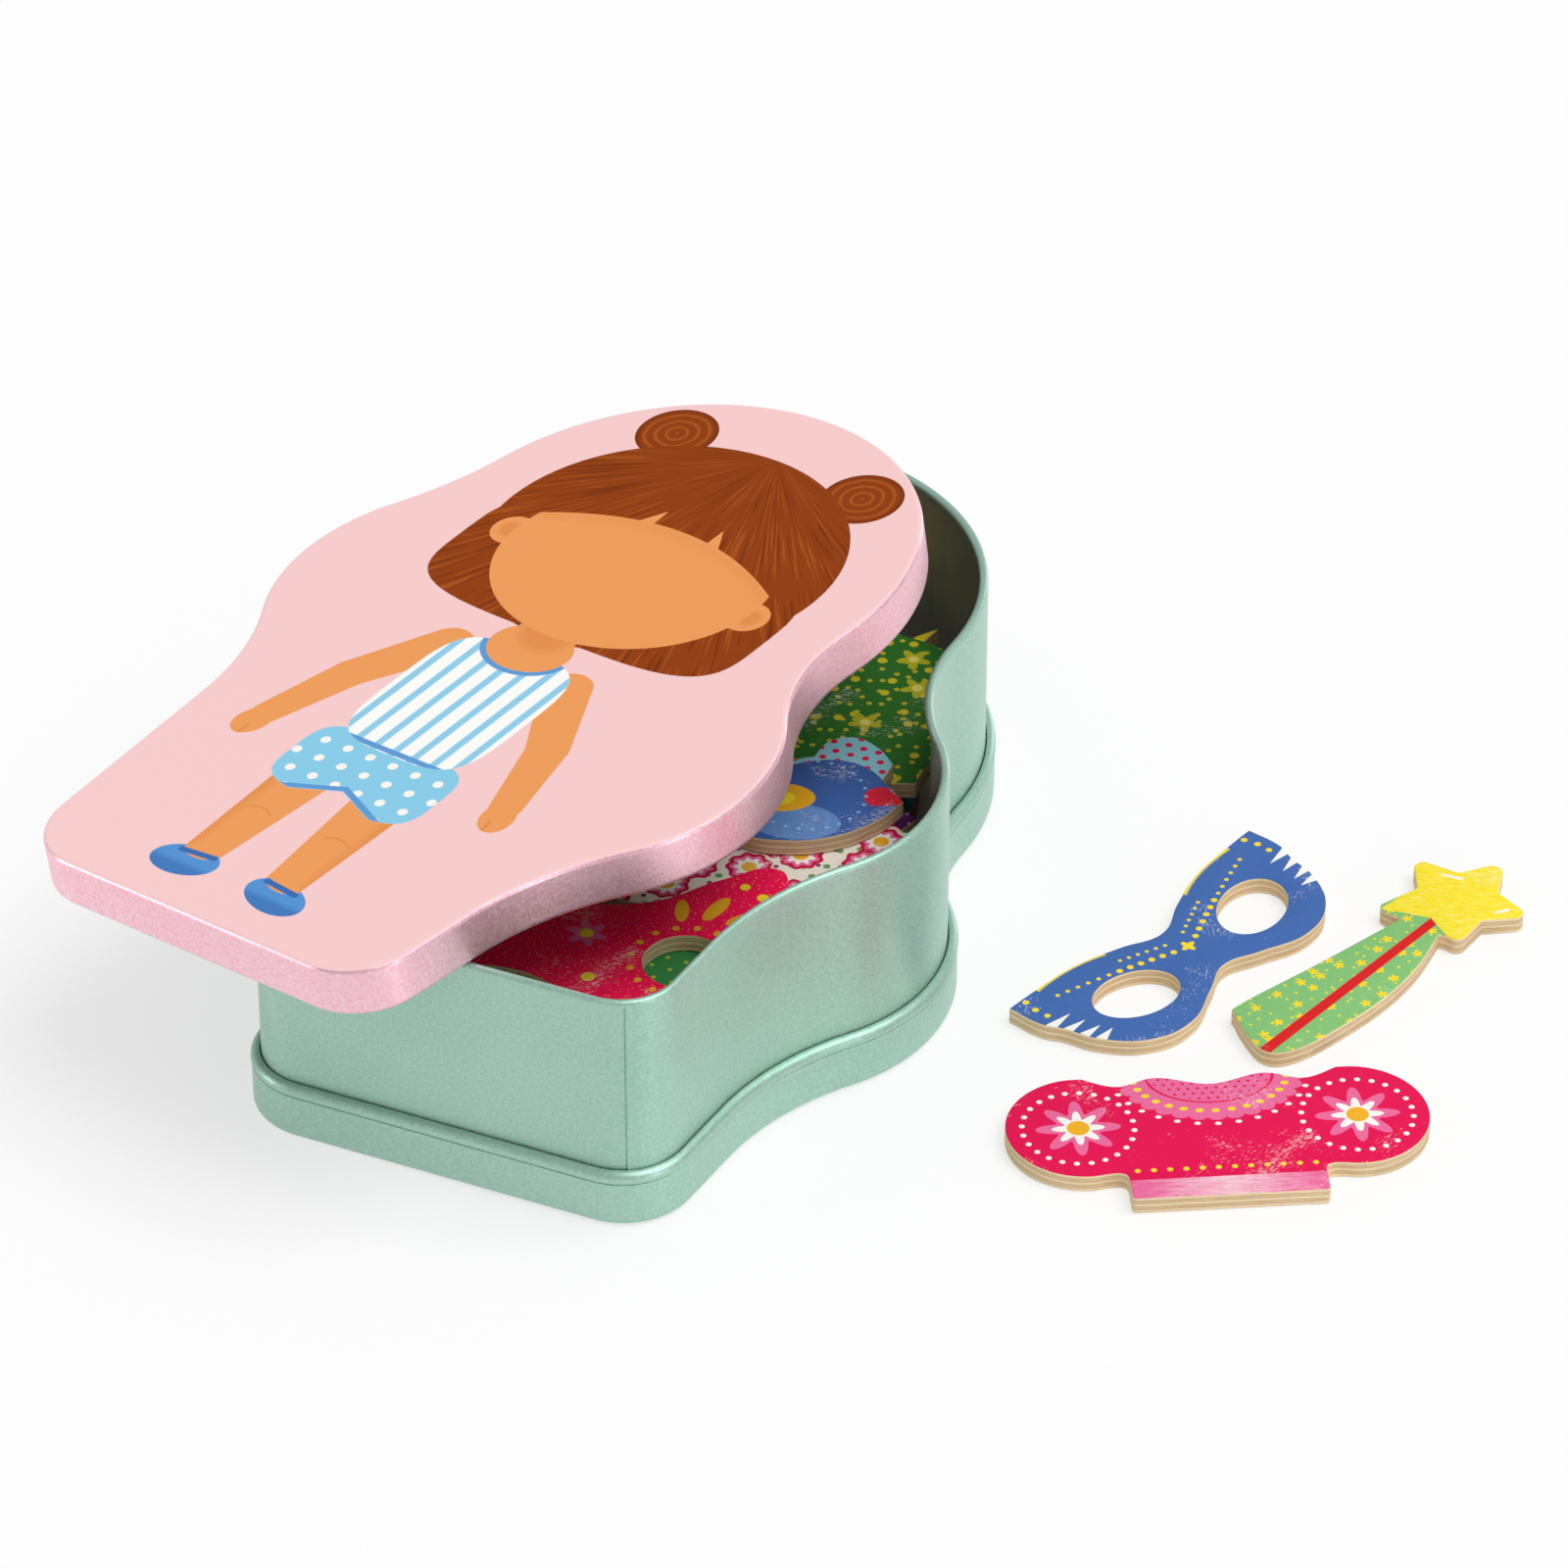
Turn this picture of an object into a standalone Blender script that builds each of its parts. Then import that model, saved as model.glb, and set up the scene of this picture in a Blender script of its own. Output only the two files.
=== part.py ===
"""A magnetic dress-up doll: a doll-shaped steel tin, its lid laid across the open mouth, and
plywood clothes with disc magnets in their backs, packed in the tin and lying beside it.

Metres, +Z up. The doll lies on its back: feet towards -Y, head towards +Y. The origin is on the
tin's underside, on the doll's axis, halfway along its length."""

from math import acos, atan2, cos, hypot, pi, radians, sin, sqrt
from types import SimpleNamespace

import bmesh
import bpy
from mathutils import Matrix, Vector
from mathutils.geometry import interpolate_bezier

# The doll's outline, taken at the tin's outer wall. Y runs from the foot line to the head.
FOOT_HALF = 0.0482
FOOT_CORNER = 0.0138
HEAD_Y = 0.151
HEAD_RADIUS = 0.0543
RIGHT_ARM_X = 0.0335
RIGHT_ARM_Y = 0.087
RIGHT_ARM_RADIUS = 0.0398
RIGHT_LEG_ANGLE = radians(7)
RIGHT_LEG_RADIUS = 0.067
RIGHT_NECK_RADIUS = 0.046
LEFT_ARM_X = 0.0258
LEFT_ARM_Y = 0.1133
LEFT_ARM_RADIUS = 0.0421
LEFT_LEG_ANGLE = radians(3)
LEFT_LEG_RADIUS = 0.0605
LEFT_NECK_RADIUS = 0.089
FACET = 0.00012

# Sheet metal
SHEET = 0.0005
RIM_HEIGHT = 0.0568
RIM_ROLL = 0.001
BAND_HEIGHT = 0.0135
BAND_STEP = 0.0023
BAND_ROUND = 0.0016
SEAM_WIDTH = 0.005
SEAM_LAP = 0.0003
SKIRT_HEIGHT = 0.0115
LID_PLAY = 0.0004
HEM_FOLD = 0.0011
HEM_HEIGHT = 0.0022
LID_ROUND = 0.0012

# How the lid lies: turned and shifted on the tin, tipped about the line between the two places
# where its skirt crosses the rim.
LID_TURN = radians(-15.9)
LID_SHIFT_X = -0.0502
LID_SHIFT_Y = -0.0108
LID_TIP = radians(6.9)
LID_SEAT = 0.0006

# Plywood and magnets
PLY = 0.004
MAGNET_RADIUS = 0.005
MAGNET_THICK = 0.002
FIT = 0.0003
ROOM = 0.004

# The three pieces on the table: centre and turn, in the doll's own plan
MASK_SPAN = 0.0838
MASK_BROW = 0.0175
MASK_CHEEK = 0.015
MASK_BRIDGE = 0.008
EYE_SPACING = 0.0407
EYE_LENGTH = 0.0208
EYE_WIDTH = 0.0146
EYE_SLANT = radians(16)
MASK_AT = (0.1166, 0.1299)
MASK_TURN = radians(73.4)
STAR_RADIUS = 0.015
STAR_LONG_RAY = 0.0174
STAR_NOTCH = 0.0093
STAR_TIP = 0.0022
STAR_POINTS = 5
WAND_LENGTH = 0.0697
WAND_NECK = 0.0048
WAND_WIDE = 0.0122
WAND_AT = (0.1623, 0.1701)
WAND_TURN = radians(-17.5)
SLEEVE_X = 0.0285
SLEEVE_RADIUS = 0.0163
SHOULDER_Y = 0.0131
COLLAR_X = 0.0113
COLLAR_Y = 0.0155
NECK_Y = 0.0126
WAIST_HALF = 0.0207
WAIST_DROP = 0.0243
TAB_ROUND = 0.0008
BLOUSE_AT = (0.1425, 0.0768)
BLOUSE_TURN = radians(28.3)

# Pieces in the tin
PARTY_EYE = 0.018
BIRD_RADIUS = 0.018
SKIRT_TURN = radians(194)

MIDDLE_Y = (HEAD_Y + HEAD_RADIUS) / 2
LID_OUT = LID_PLAY + HEM_FOLD + SHEET
TAU = 2 * pi

# Colour, roughness and metallic value of each material
LOOKS = {
    "mint": ((0.33, 0.51, 0.44), 0.38, 0.4),
    "pink": ((0.93, 0.63, 0.64), 0.42, 0.15),
    "magnet": ((0.05, 0.05, 0.055), 0.62, 0.2),
    "crimson": ((0.75, 0.02, 0.10), 0.5, 0),
    "blue": ((0.09, 0.20, 0.47), 0.5, 0),
    "green": ((0.27, 0.56, 0.20), 0.5, 0),
    "leaf": ((0.09, 0.30, 0.05), 0.5, 0),
    "white": ((0.85, 0.80, 0.72), 0.55, 0),
    "purple": ((0.17, 0.04, 0.20), 0.5, 0),
    "yellow": ((0.86, 0.68, 0.06), 0.5, 0),
    "navy": ((0.02, 0.05, 0.16), 0.5, 0),
    "orange": ((0.80, 0.28, 0.05), 0.5, 0),
    "sky": ((0.27, 0.56, 0.75), 0.5, 0),
    "rose": ((0.80, 0.25, 0.40), 0.5, 0),
}


def clear_scene():
    for old in list(bpy.data.objects):
        bpy.data.objects.remove(old, do_unlink=True)


def new_collection(name):
    made = bpy.data.collections.new(name)
    bpy.context.scene.collection.children.link(made)
    return made


def material(name, colour, roughness, metallic):
    made = bpy.data.materials.new(name)
    made.use_nodes = True
    shader = made.node_tree.nodes["Principled BSDF"]
    shader.inputs["Base Color"].default_value = (*colour, 1)
    shader.inputs["Roughness"].default_value = roughness
    shader.inputs["Metallic"].default_value = metallic
    return made


def arc(centre, radius, start, end):
    """Points from angle start to angle end, both included."""
    steps = max(2, round(abs(end - start) / (2 * acos(1 - FACET / radius))))
    turns = [start + (end - start) * i / steps for i in range(steps + 1)]
    return [(centre[0] + radius * cos(t), centre[1] + radius * sin(t)) for t in turns]


def angle_to(here, there):
    return atan2(there[1] - here[1], there[0] - here[0])


def meeting_point(a, reach_a, b, reach_b):
    """The point at the two given distances from a and b, on the right of the way from a to b."""
    span = hypot(b[0] - a[0], b[1] - a[1])
    along = (span**2 + reach_a**2 - reach_b**2) / (2 * span)
    out = sqrt(reach_a**2 - along**2)
    ux, uy = (b[0] - a[0]) / span, (b[1] - a[1]) / span
    return (a[0] + along * ux + out * uy, a[1] + along * uy - out * ux)


def doll_side(arm, arm_radius, leg_angle, leg_radius, neck_radius, offset):
    """One side of the doll from the foot line to the crown: five tangent arcs."""
    foot = (FOOT_HALF - FOOT_CORNER, FOOT_CORNER)
    head = (0, HEAD_Y)
    out = (cos(leg_angle), -sin(leg_angle))
    up = (sin(leg_angle), cos(leg_angle))
    first = (foot[0] + (FOOT_CORNER + leg_radius) * out[0], foot[1] + (FOOT_CORNER + leg_radius) * out[1])
    gap = (first[0] - arm[0], first[1] - arm[1])
    run = gap[0] * up[0] + gap[1] * up[1]
    rise = -run - sqrt(run**2 - gap[0] ** 2 - gap[1] ** 2 + (arm_radius + leg_radius) ** 2)
    leg = (first[0] + rise * up[0], first[1] + rise * up[1])
    neck = meeting_point(arm, arm_radius + neck_radius, head, HEAD_RADIUS + neck_radius)
    points = arc(foot, FOOT_CORNER + offset, -pi / 2, -leg_angle)
    points += arc(leg, leg_radius - offset, pi - leg_angle, angle_to(leg, arm) % TAU)
    points += arc(arm, arm_radius + offset, angle_to(arm, leg), angle_to(arm, neck))[1:]
    points += arc(neck, neck_radius - offset, angle_to(neck, arm) % TAU, angle_to(neck, head) % TAU)[1:]
    points += arc(head, HEAD_RADIUS + offset, angle_to(head, neck), pi / 2)[1:]
    return points


def neck_half():
    """From the middle line to the narrowest place of the neck on the right."""
    reach = RIGHT_ARM_RADIUS + RIGHT_NECK_RADIUS
    neck = meeting_point((RIGHT_ARM_X, RIGHT_ARM_Y), reach, (0, HEAD_Y), HEAD_RADIUS + RIGHT_NECK_RADIUS)
    return neck[0] - RIGHT_NECK_RADIUS


def doll_outline(offset):
    """The doll's closed outline, this far outside the tin's wall, anticlockwise."""
    arm = (RIGHT_ARM_X, RIGHT_ARM_Y)
    right = doll_side(arm, RIGHT_ARM_RADIUS, RIGHT_LEG_ANGLE, RIGHT_LEG_RADIUS, RIGHT_NECK_RADIUS, offset)
    arm = (LEFT_ARM_X, LEFT_ARM_Y)
    left = doll_side(arm, LEFT_ARM_RADIUS, LEFT_LEG_ANGLE, LEFT_LEG_RADIUS, LEFT_NECK_RADIUS, offset)
    return right + [(-x, y) for x, y in reversed(left[:-1])]


def poly_spline(curve, points):
    spline = curve.splines.new("POLY")
    spline.points.add(len(points) - 1)
    for knot, (x, y) in zip(spline.points, points):
        knot.co = (x, y, 0, 1)
    spline.use_cyclic_u = True


def smooth_spline(curve, points):
    """A closed spline through (x, y, corner) points: straight into a corner, rounded elsewhere."""
    spline = curve.splines.new("BEZIER")
    spline.bezier_points.add(len(points) - 1)
    for knot, (x, y, corner) in zip(spline.bezier_points, points):
        knot.co = (x, y, 0)
        knot.handle_left_type = knot.handle_right_type = "VECTOR" if corner else "AUTO"
    spline.use_cyclic_u = True


def smooth_run(knots, steps=5):
    """Points on a smooth line through the given ones, both ends included."""
    ends = [Vector(knot) for knot in (knots[0], *knots, knots[-1])]
    run = []
    for before, start, end, after in zip(ends, ends[1:], ends[2:], ends[3:]):
        leave, arrive = start + (end - before) / 6, end - (after - start) / 6
        run += [tuple(point) for point in interpolate_bezier(start, leave, arrive, end, steps + 1)[:-1]]
    return run + [tuple(ends[-1])]


def flat_curve(name, thickness, rounding=0.0):
    curve = bpy.data.curves.new(name, "CURVE")
    curve.dimensions = "2D"
    curve.fill_mode = "BOTH" if rounding else "NONE"
    curve.resolution_u = 6
    curve.extrude = thickness / 2 - rounding
    curve.bevel_depth = rounding
    curve.bevel_resolution = 1
    return curve


def curve_to_mesh(curve, collection, low=0.0):
    """The curve as a closed mesh object, its lowest face moved from below zero up to the height low."""
    name = curve.name
    drawn = bpy.data.objects.new(name + "_curve", curve)
    bpy.context.scene.collection.objects.link(drawn)
    graph = bpy.context.evaluated_depsgraph_get()
    mesh = bpy.data.meshes.new_from_object(drawn.evaluated_get(graph))
    bpy.data.objects.remove(drawn, do_unlink=True)
    work = bmesh.new()
    work.from_mesh(mesh)
    bmesh.ops.remove_doubles(work, verts=work.verts, dist=1e-6)
    bmesh.ops.holes_fill(work, edges=[edge for edge in work.edges if edge.is_boundary])
    bottom = min(v.co.z for v in work.verts)
    bmesh.ops.translate(work, verts=work.verts, vec=(0, 0, low - bottom))
    bmesh.ops.recalc_face_normals(work, faces=work.faces)
    inside_cap = [edge for edge in work.edges if all(len(face.verts) == 3 for face in edge.link_faces)]
    bmesh.ops.dissolve_edges(work, edges=inside_cap)
    work.to_mesh(mesh)
    work.free()
    made = bpy.data.objects.new(name, mesh)
    mesh.name = name
    collection.objects.link(made)
    return made


def doll_block(name, offset, low, high, collection, rounding=0.0):
    """A block of the doll's outline, with both edges rounded inwards."""
    curve = flat_curve(name, high - low, rounding)
    poly_spline(curve, doll_outline(offset - rounding))
    return curve_to_mesh(curve, collection, low)


def cut(target, cutter, operation="DIFFERENCE"):
    cutter.hide_render = True
    cutter.display_type = "WIRE"
    change = target.modifiers.new(cutter.name, "BOOLEAN")
    change.operation = operation
    change.object = cutter


def finish(piece, look, home):
    piece.data.materials.clear()
    piece.data.materials.append(look)
    piece.data.shade_smooth()
    piece.data.set_sharp_from_angle(angle=radians(35))
    piece.parent = home
    return piece


def wall_profile():
    """Half of a section through the tin's side: flange, wall and the bead rolled in at the rim."""
    foot = SHEET + FIT
    bead = RIM_HEIGHT - RIM_ROLL
    flange = BAND_STEP - BAND_ROUND
    points = [(flange, foot), (flange, foot + SHEET), (0, foot + 2 * SHEET), (0, bead)]
    points += arc((-RIM_ROLL, bead), RIM_ROLL, pi / 6, 3 * pi / 2)
    points += [(-SHEET, bead - RIM_ROLL - SHEET), (-SHEET, foot)]
    return points


def swept_wall(collection):
    """The tin's side: its section carried round the doll's outline."""
    section = bpy.data.curves.new("wall_section", "CURVE")
    section.dimensions = "2D"
    section.fill_mode = "NONE"
    poly_spline(section, [(-x, z) for x, z in wall_profile()])
    section_object = bpy.data.objects.new("wall_section", section)
    bpy.context.scene.collection.objects.link(section_object)
    path = bpy.data.curves.new("tin_wall", "CURVE")
    path.dimensions = "2D"
    path.fill_mode = "NONE"
    path.bevel_mode = "OBJECT"
    path.bevel_object = section_object
    poly_spline(path, doll_outline(0))
    wall = curve_to_mesh(path, collection, SHEET + FIT)
    bpy.data.objects.remove(section_object, do_unlink=True)
    return wall


def side_seam(collection):
    """The lap where the ends of the side sheet meet, on the right foot corner."""
    foot = (FOOT_HALF - FOOT_CORNER, FOOT_CORNER)
    middle = radians(-62)
    half = SEAM_WIDTH / FOOT_CORNER / 2
    outer = arc(foot, FOOT_CORNER + SEAM_LAP, middle - half, middle + half)
    inner = arc(foot, FOOT_CORNER - SHEET / 2, middle + half, middle - half)
    low = BAND_HEIGHT + FIT
    high = RIM_HEIGHT - 2 * RIM_ROLL
    curve = flat_curve("side_seam", high - low)
    poly_spline(curve, outer + inner)
    return curve_to_mesh(curve, collection, low)


def build_tin(shop):
    wall = swept_wall(shop.parts)
    seam = side_seam(shop.cutters)
    seam.parent = shop.home
    cut(wall, seam, "UNION")
    finish(wall, shop.looks["mint"], shop.home)

    inner_round = BAND_ROUND - SHEET
    ceiling = BAND_HEIGHT - SHEET
    pan = doll_block("base_pan", BAND_STEP, 0, BAND_HEIGHT, shop.parts, BAND_ROUND)
    hollow = doll_block("pan_hollow", BAND_STEP - SHEET, SHEET, ceiling, shop.cutters, inner_round)
    mouth = doll_block("pan_mouth", FIT, BAND_HEIGHT / 2, BAND_HEIGHT + SHEET, shop.cutters)
    for cutter in (hollow, mouth):
        cutter.parent = shop.home
        cut(pan, cutter)
    finish(pan, shop.looks["mint"], shop.home)


def crossings(first, second):
    """Where two closed outlines cross."""
    found = []
    for a, b in zip(first, first[1:] + first[:1]):
        for c, d in zip(second, second[1:] + second[:1]):
            ab, cd = (b[0] - a[0], b[1] - a[1]), (d[0] - c[0], d[1] - c[1])
            across = ab[0] * cd[1] - ab[1] * cd[0]
            if abs(across) < 1e-15:
                continue
            ac = (c[0] - a[0], c[1] - a[1])
            s = (ac[0] * cd[1] - ac[1] * cd[0]) / across
            t = (ac[0] * ab[1] - ac[1] * ab[0]) / across
            if 0 <= s < 1 and 0 <= t < 1:
                found.append(Vector((a[0] + s * ab[0], a[1] + s * ab[1], 0)))
    return sorted(found, key=lambda p: p.y)


def lid_pose():
    """Where the lid lies: its skirt rests on the rim at two crossings, and it tips about them."""
    shift = Matrix.Translation((LID_SHIFT_X, LID_SHIFT_Y, RIM_HEIGHT + LID_SEAT))
    flat = shift @ Matrix.Rotation(LID_TURN, 4, "Z")
    skirt = [(flat @ Vector((x, y, 0))).to_2d() for x, y in doll_outline(LID_PLAY + HEM_FOLD / 2)]
    met = crossings(doll_outline(-RIM_ROLL), [tuple(p) for p in skirt])
    near, far = met[0], met[-1]
    pivot = Matrix.Translation((near.x, near.y, RIM_HEIGHT + LID_SEAT))
    return pivot @ Matrix.Rotation(LID_TIP, 4, near - far) @ pivot.inverted() @ flat


def build_lid(shop):
    inner_round = LID_ROUND - SHEET
    ceiling = SKIRT_HEIGHT - SHEET
    mouth_top = HEM_HEIGHT + inner_round + SHEET
    lid = doll_block("lid", LID_OUT, 0, SKIRT_HEIGHT, shop.parts, LID_ROUND)
    hollow = doll_block("lid_hollow", LID_OUT - SHEET, HEM_HEIGHT, ceiling, shop.cutters, inner_round)
    mouth = doll_block("lid_mouth", LID_PLAY, -SHEET, mouth_top, shop.cutters)
    for cutter in (hollow, mouth):
        cutter.parent = lid
        cut(lid, cutter)
    finish(lid, shop.looks["pink"], shop.home)
    lid.matrix_local = lid_pose()


def layer_height(layer):
    """The underside of this layer of the pile in the tin."""
    return SHEET + FIT + layer * (PLY + FIT)


def add_magnets(shop, piece, places):
    """Disc magnets let into the piece's back, flush with it."""
    for number, (x, y) in enumerate(places, 1):
        pocket_depth = MAGNET_THICK + FIT
        cutter_height = 2 * pocket_depth
        for kind, radius, height, middle, collection in (
            ("pocket", MAGNET_RADIUS + FIT, cutter_height, 0, shop.cutters),
            ("magnet", MAGNET_RADIUS, MAGNET_THICK, MAGNET_THICK / 2, shop.parts),
        ):
            mesh = bpy.data.meshes.new(f"{piece.name}_{kind}_{number}")
            disc = bmesh.new()
            bmesh.ops.create_cone(
                disc, cap_ends=True, segments=14, radius1=radius, radius2=radius, depth=height
            )
            disc.to_mesh(mesh)
            disc.free()
            made = bpy.data.objects.new(mesh.name, mesh)
            collection.objects.link(made)
            made.parent = piece
            made.location = (x, y, middle)
            if kind == "pocket":
                cut(piece, made)
            else:
                finish(made, shop.looks["magnet"], piece)


def flat_piece(shop, curve, colour, magnets, at, turn, low):
    """A plywood piece cut to the curve, its magnets in its back, laid at this height."""
    piece = curve_to_mesh(curve, shop.parts)
    finish(piece, shop.looks[colour], shop.home)
    add_magnets(shop, piece, magnets)
    piece.location = (at[0], at[1], low)
    piece.rotation_euler = (0, 0, turn)
    return piece


def mirrored(half):
    """Both sides of an outline given for the right half, from bottom to top on the axis or beside it."""
    return half + [(-x, y, corner) for x, y, corner in reversed(half) if x > 0]


def cut_eyes(shop, mask, eye_x, length, width, slant, lift=0.0):
    """Two eye holes right through a mask, mirrored about its middle."""
    for side in (1, -1):
        ring = []
        for step in range(32):
            along = length / 2 * cos(TAU * step / 32)
            across = width / 2 * sin(TAU * step / 32)
            x = eye_x + along * cos(slant) - across * sin(slant)
            ring.append((side * x, lift + along * sin(slant) + across * cos(slant)))
        curve = flat_curve(f"{mask.name}_eye", 2 * PLY)
        poly_spline(curve, ring)
        hole = curve_to_mesh(curve, shop.cutters, -PLY / 2)
        hole.parent = mask
        cut(mask, hole)


def build_eye_mask(shop):
    """The mask on the table: two slanted eyes, a dipped brow, pointed ends and a nose notch."""
    tip = MASK_SPAN / 2
    eye = EYE_SPACING / 2
    half = [
        (0, -MASK_BRIDGE, False),
        (eye * 0.42, -MASK_CHEEK * 0.74, False),
        (eye, -MASK_CHEEK, False),
        (eye * 1.5, -MASK_CHEEK * 0.82, False),
        (tip * 0.9, -MASK_CHEEK * 0.24, False),
        (tip * 0.955, MASK_BROW * 0.26, False),
        (tip * 0.995, MASK_BROW * 0.48, False),
        (tip, MASK_BROW, True),
        (tip * 0.84, MASK_BROW * 0.99, False),
        (tip * 0.5, MASK_BROW * 0.92, False),
        (tip * 0.24, MASK_BROW * 0.73, False),
        (0, MASK_BRIDGE * 1.12, False),
    ]
    curve = flat_curve("eye_mask", PLY)
    smooth_spline(curve, mirrored(half))
    mask = flat_piece(shop, curve, "blue", [(0, 0)], MASK_AT, MASK_TURN, 0)
    cut_eyes(shop, mask, eye, EYE_LENGTH, EYE_WIDTH, EYE_SLANT)


def build_wand(shop):
    """A star on a handle that widens to a slanted end; the star's centre is the piece's origin."""
    handle = smooth_run([
        (-WAND_NECK, -STAR_NOTCH * 1.5),
        (-WAND_WIDE * 0.69, -WAND_LENGTH * 0.55),
        (-WAND_WIDE, -WAND_LENGTH * 0.87),
        (-WAND_WIDE * 0.88, -WAND_LENGTH * 0.92),
        (-WAND_WIDE * 0.18, -WAND_LENGTH * 0.99),
        (WAND_WIDE * 0.2, -WAND_LENGTH),
        (WAND_WIDE * 0.47, -WAND_LENGTH * 0.955),
        (WAND_WIDE * 0.66, -WAND_LENGTH * 0.84),
        (WAND_WIDE * 0.79, -WAND_LENGTH * 0.59),
        (WAND_WIDE * 0.7, -WAND_LENGTH * 0.38),
        (WAND_NECK, -STAR_NOTCH * 1.4),
    ])
    points = []
    for step in range(2 * STAR_POINTS):
        turn = pi / 2 + pi * step / STAR_POINTS
        if step == STAR_POINTS:
            points += handle
        elif step % 2:
            points.append((STAR_NOTCH * cos(turn), STAR_NOTCH * sin(turn)))
        else:
            ray = STAR_LONG_RAY if step == STAR_POINTS - 1 else STAR_RADIUS
            tip = ((ray - STAR_TIP) * cos(turn), (ray - STAR_TIP) * sin(turn))
            points += arc(tip, STAR_TIP, turn - radians(55), turn + radians(55))
    curve = flat_curve("star_wand", PLY)
    poly_spline(curve, points)
    magnets = [(0, 0), (-WAND_WIDE * 0.12, -WAND_LENGTH * 0.8)]
    flat_piece(shop, curve, "green", magnets, WAND_AT, WAND_TURN, 0)


def build_blouse(shop):
    """A blouse with round puffed sleeves, a low collar and a waist tab."""
    tuck = (SLEEVE_X - WAIST_HALF) * 0.55
    fold = (SLEEVE_X - WAIST_HALF) * 0.2
    hem = sqrt(SLEEVE_RADIUS**2 - tuck**2)
    side = arc((WAIST_HALF - TAB_ROUND, TAB_ROUND - WAIST_DROP), TAB_ROUND, -pi / 2, 0)
    side += arc((WAIST_HALF + fold, -hem - fold), fold, pi, pi / 2)
    side += arc((SLEEVE_X, 0), SLEEVE_RADIUS, atan2(-hem, -tuck), radians(95))
    top = [side.pop(), ((SLEEVE_X + COLLAR_X) / 2, SHOULDER_Y), (COLLAR_X, COLLAR_Y)]
    collar = smooth_run([*top, (0, NECK_Y), *[(-x, y) for x, y in reversed(top)]])
    curve = flat_curve("blouse", PLY)
    poly_spline(curve, side + collar + [(-x, y) for x, y in reversed(side)])
    flat_piece(shop, curve, "crimson", [(SLEEVE_X, 0), (-SLEEVE_X, 0)], BLOUSE_AT, BLOUSE_TURN, 0)


def clothes_pattern(name):
    """The right half of an outline from the bottom to the top, as shares of the piece's half width
    and half length. True marks a sharp corner."""
    shares = {
        "trousers": [
            (0, -0.1, True), (0.2, -1, True), (0.95, -1, True), (0.78, 0.2, False), (0.62, 1, True),
        ],
        "flared_skirt": [
            (0, -1, False), (0.6, -0.93, False), (1, -0.72, True), (0.7, 0.1, False), (0.46, 1, True),
        ],
        "coat": [
            (0.72, -1, True), (0.6, 0, True), (1, -0.25, True), (0.93, 0.3, False), (0.5, 1, False),
            (0.2, 0.86, True),
        ],
        "shorts": [(0, -0.35, True), (0.16, -1, True), (1, -0.9, True), (0.8, 1, True)],
        "tunic": [
            (0.8, -1, True), (0.55, 0.1, True), (1, 0.22, True), (0.85, 0.8, False), (0.3, 1, True),
            (0, 0.75, False),
        ],
        "jacket": [
            (0.7, -1, True), (0.66, -0.1, True), (1, -0.3, True), (0.9, 0.5, False), (0.4, 1, True),
            (0, 0.6, False),
        ],
        "vest": [
            (0, -0.86, True), (0.8, -1, True), (0.88, -0.2, False), (0.97, 0.5, False), (0.82, 1, True),
            (0.36, 1, True), (0, 0.2, True),
        ],
        "wings": [
            (0, -0.4, False), (0.45, -1, False), (0.88, -0.6, False), (0.92, 0.5, False),
            (0.6, 1, False), (0, 0.2, False),
        ],
        "brim_hat": [
            (0, -1, False), (0.7, -0.9, False), (1, -0.62, False), (0.62, -0.4, True),
            (0.52, 0.6, False), (0, 1, False),
        ],
        "hair_bow": [
            (0, -0.4, False), (0.45, -0.7, False), (0.85, -1, True), (0.93, 0.2, False),
            (0.8, 1, True), (0, 0.45, False),
        ],
        "hood": [(0.85, -0.9, True), (0.9, 0.1, False), (0.55, 0.85, False), (0, 1, False)],
        "beret": [
            (0, -1, False), (0.6, -0.85, False), (0.97, -0.1, False), (0.6, 0.7, False),
            (0.12, 0.82, True), (0.1, 1, True),
        ],
        "round_skirt": [
            (0, -1, False), (0.62, -0.9, False), (1, -0.5, True), (0.75, 0.3, False), (0.52, 1, True),
        ],
        "floral_skirt": [
            (0, -1, False), (0.6, -0.95, False), (1, -0.7, True), (0.8, 0, False), (0.58, 1, True),
        ],
        "crown": [
            (0, -1, False), (0.74, -0.85, True), (0.94, 0.75, True), (0.56, 0, True), (0.4, 0.9, True),
            (0.2, 0.05, True), (0, 1, True),
        ],
        "cape": [
            (0, -1, False), (0.74, -0.97, False), (1.035, -0.82, True), (0.99, 0.1, False),
            (0.8, 0.6, False), (0.42, 0.72, True), (0, 0.55, False),
        ],
    }
    return shares[name]


def build_clothes(shop, name, colour, layer, at, half_width, half_length, magnets, turn=0.0):
    """A piece of clothing cut to its pattern and laid in the pile."""
    half = [(x * half_width, y * half_length, corner) for x, y, corner in clothes_pattern(name)]
    curve = flat_curve(name, PLY)
    smooth_spline(curve, mirrored(half))
    spots = [(x * half_width, y * half_length) for x, y in magnets]
    flat_piece(shop, curve, colour, spots, at, turn, layer_height(layer))


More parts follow.
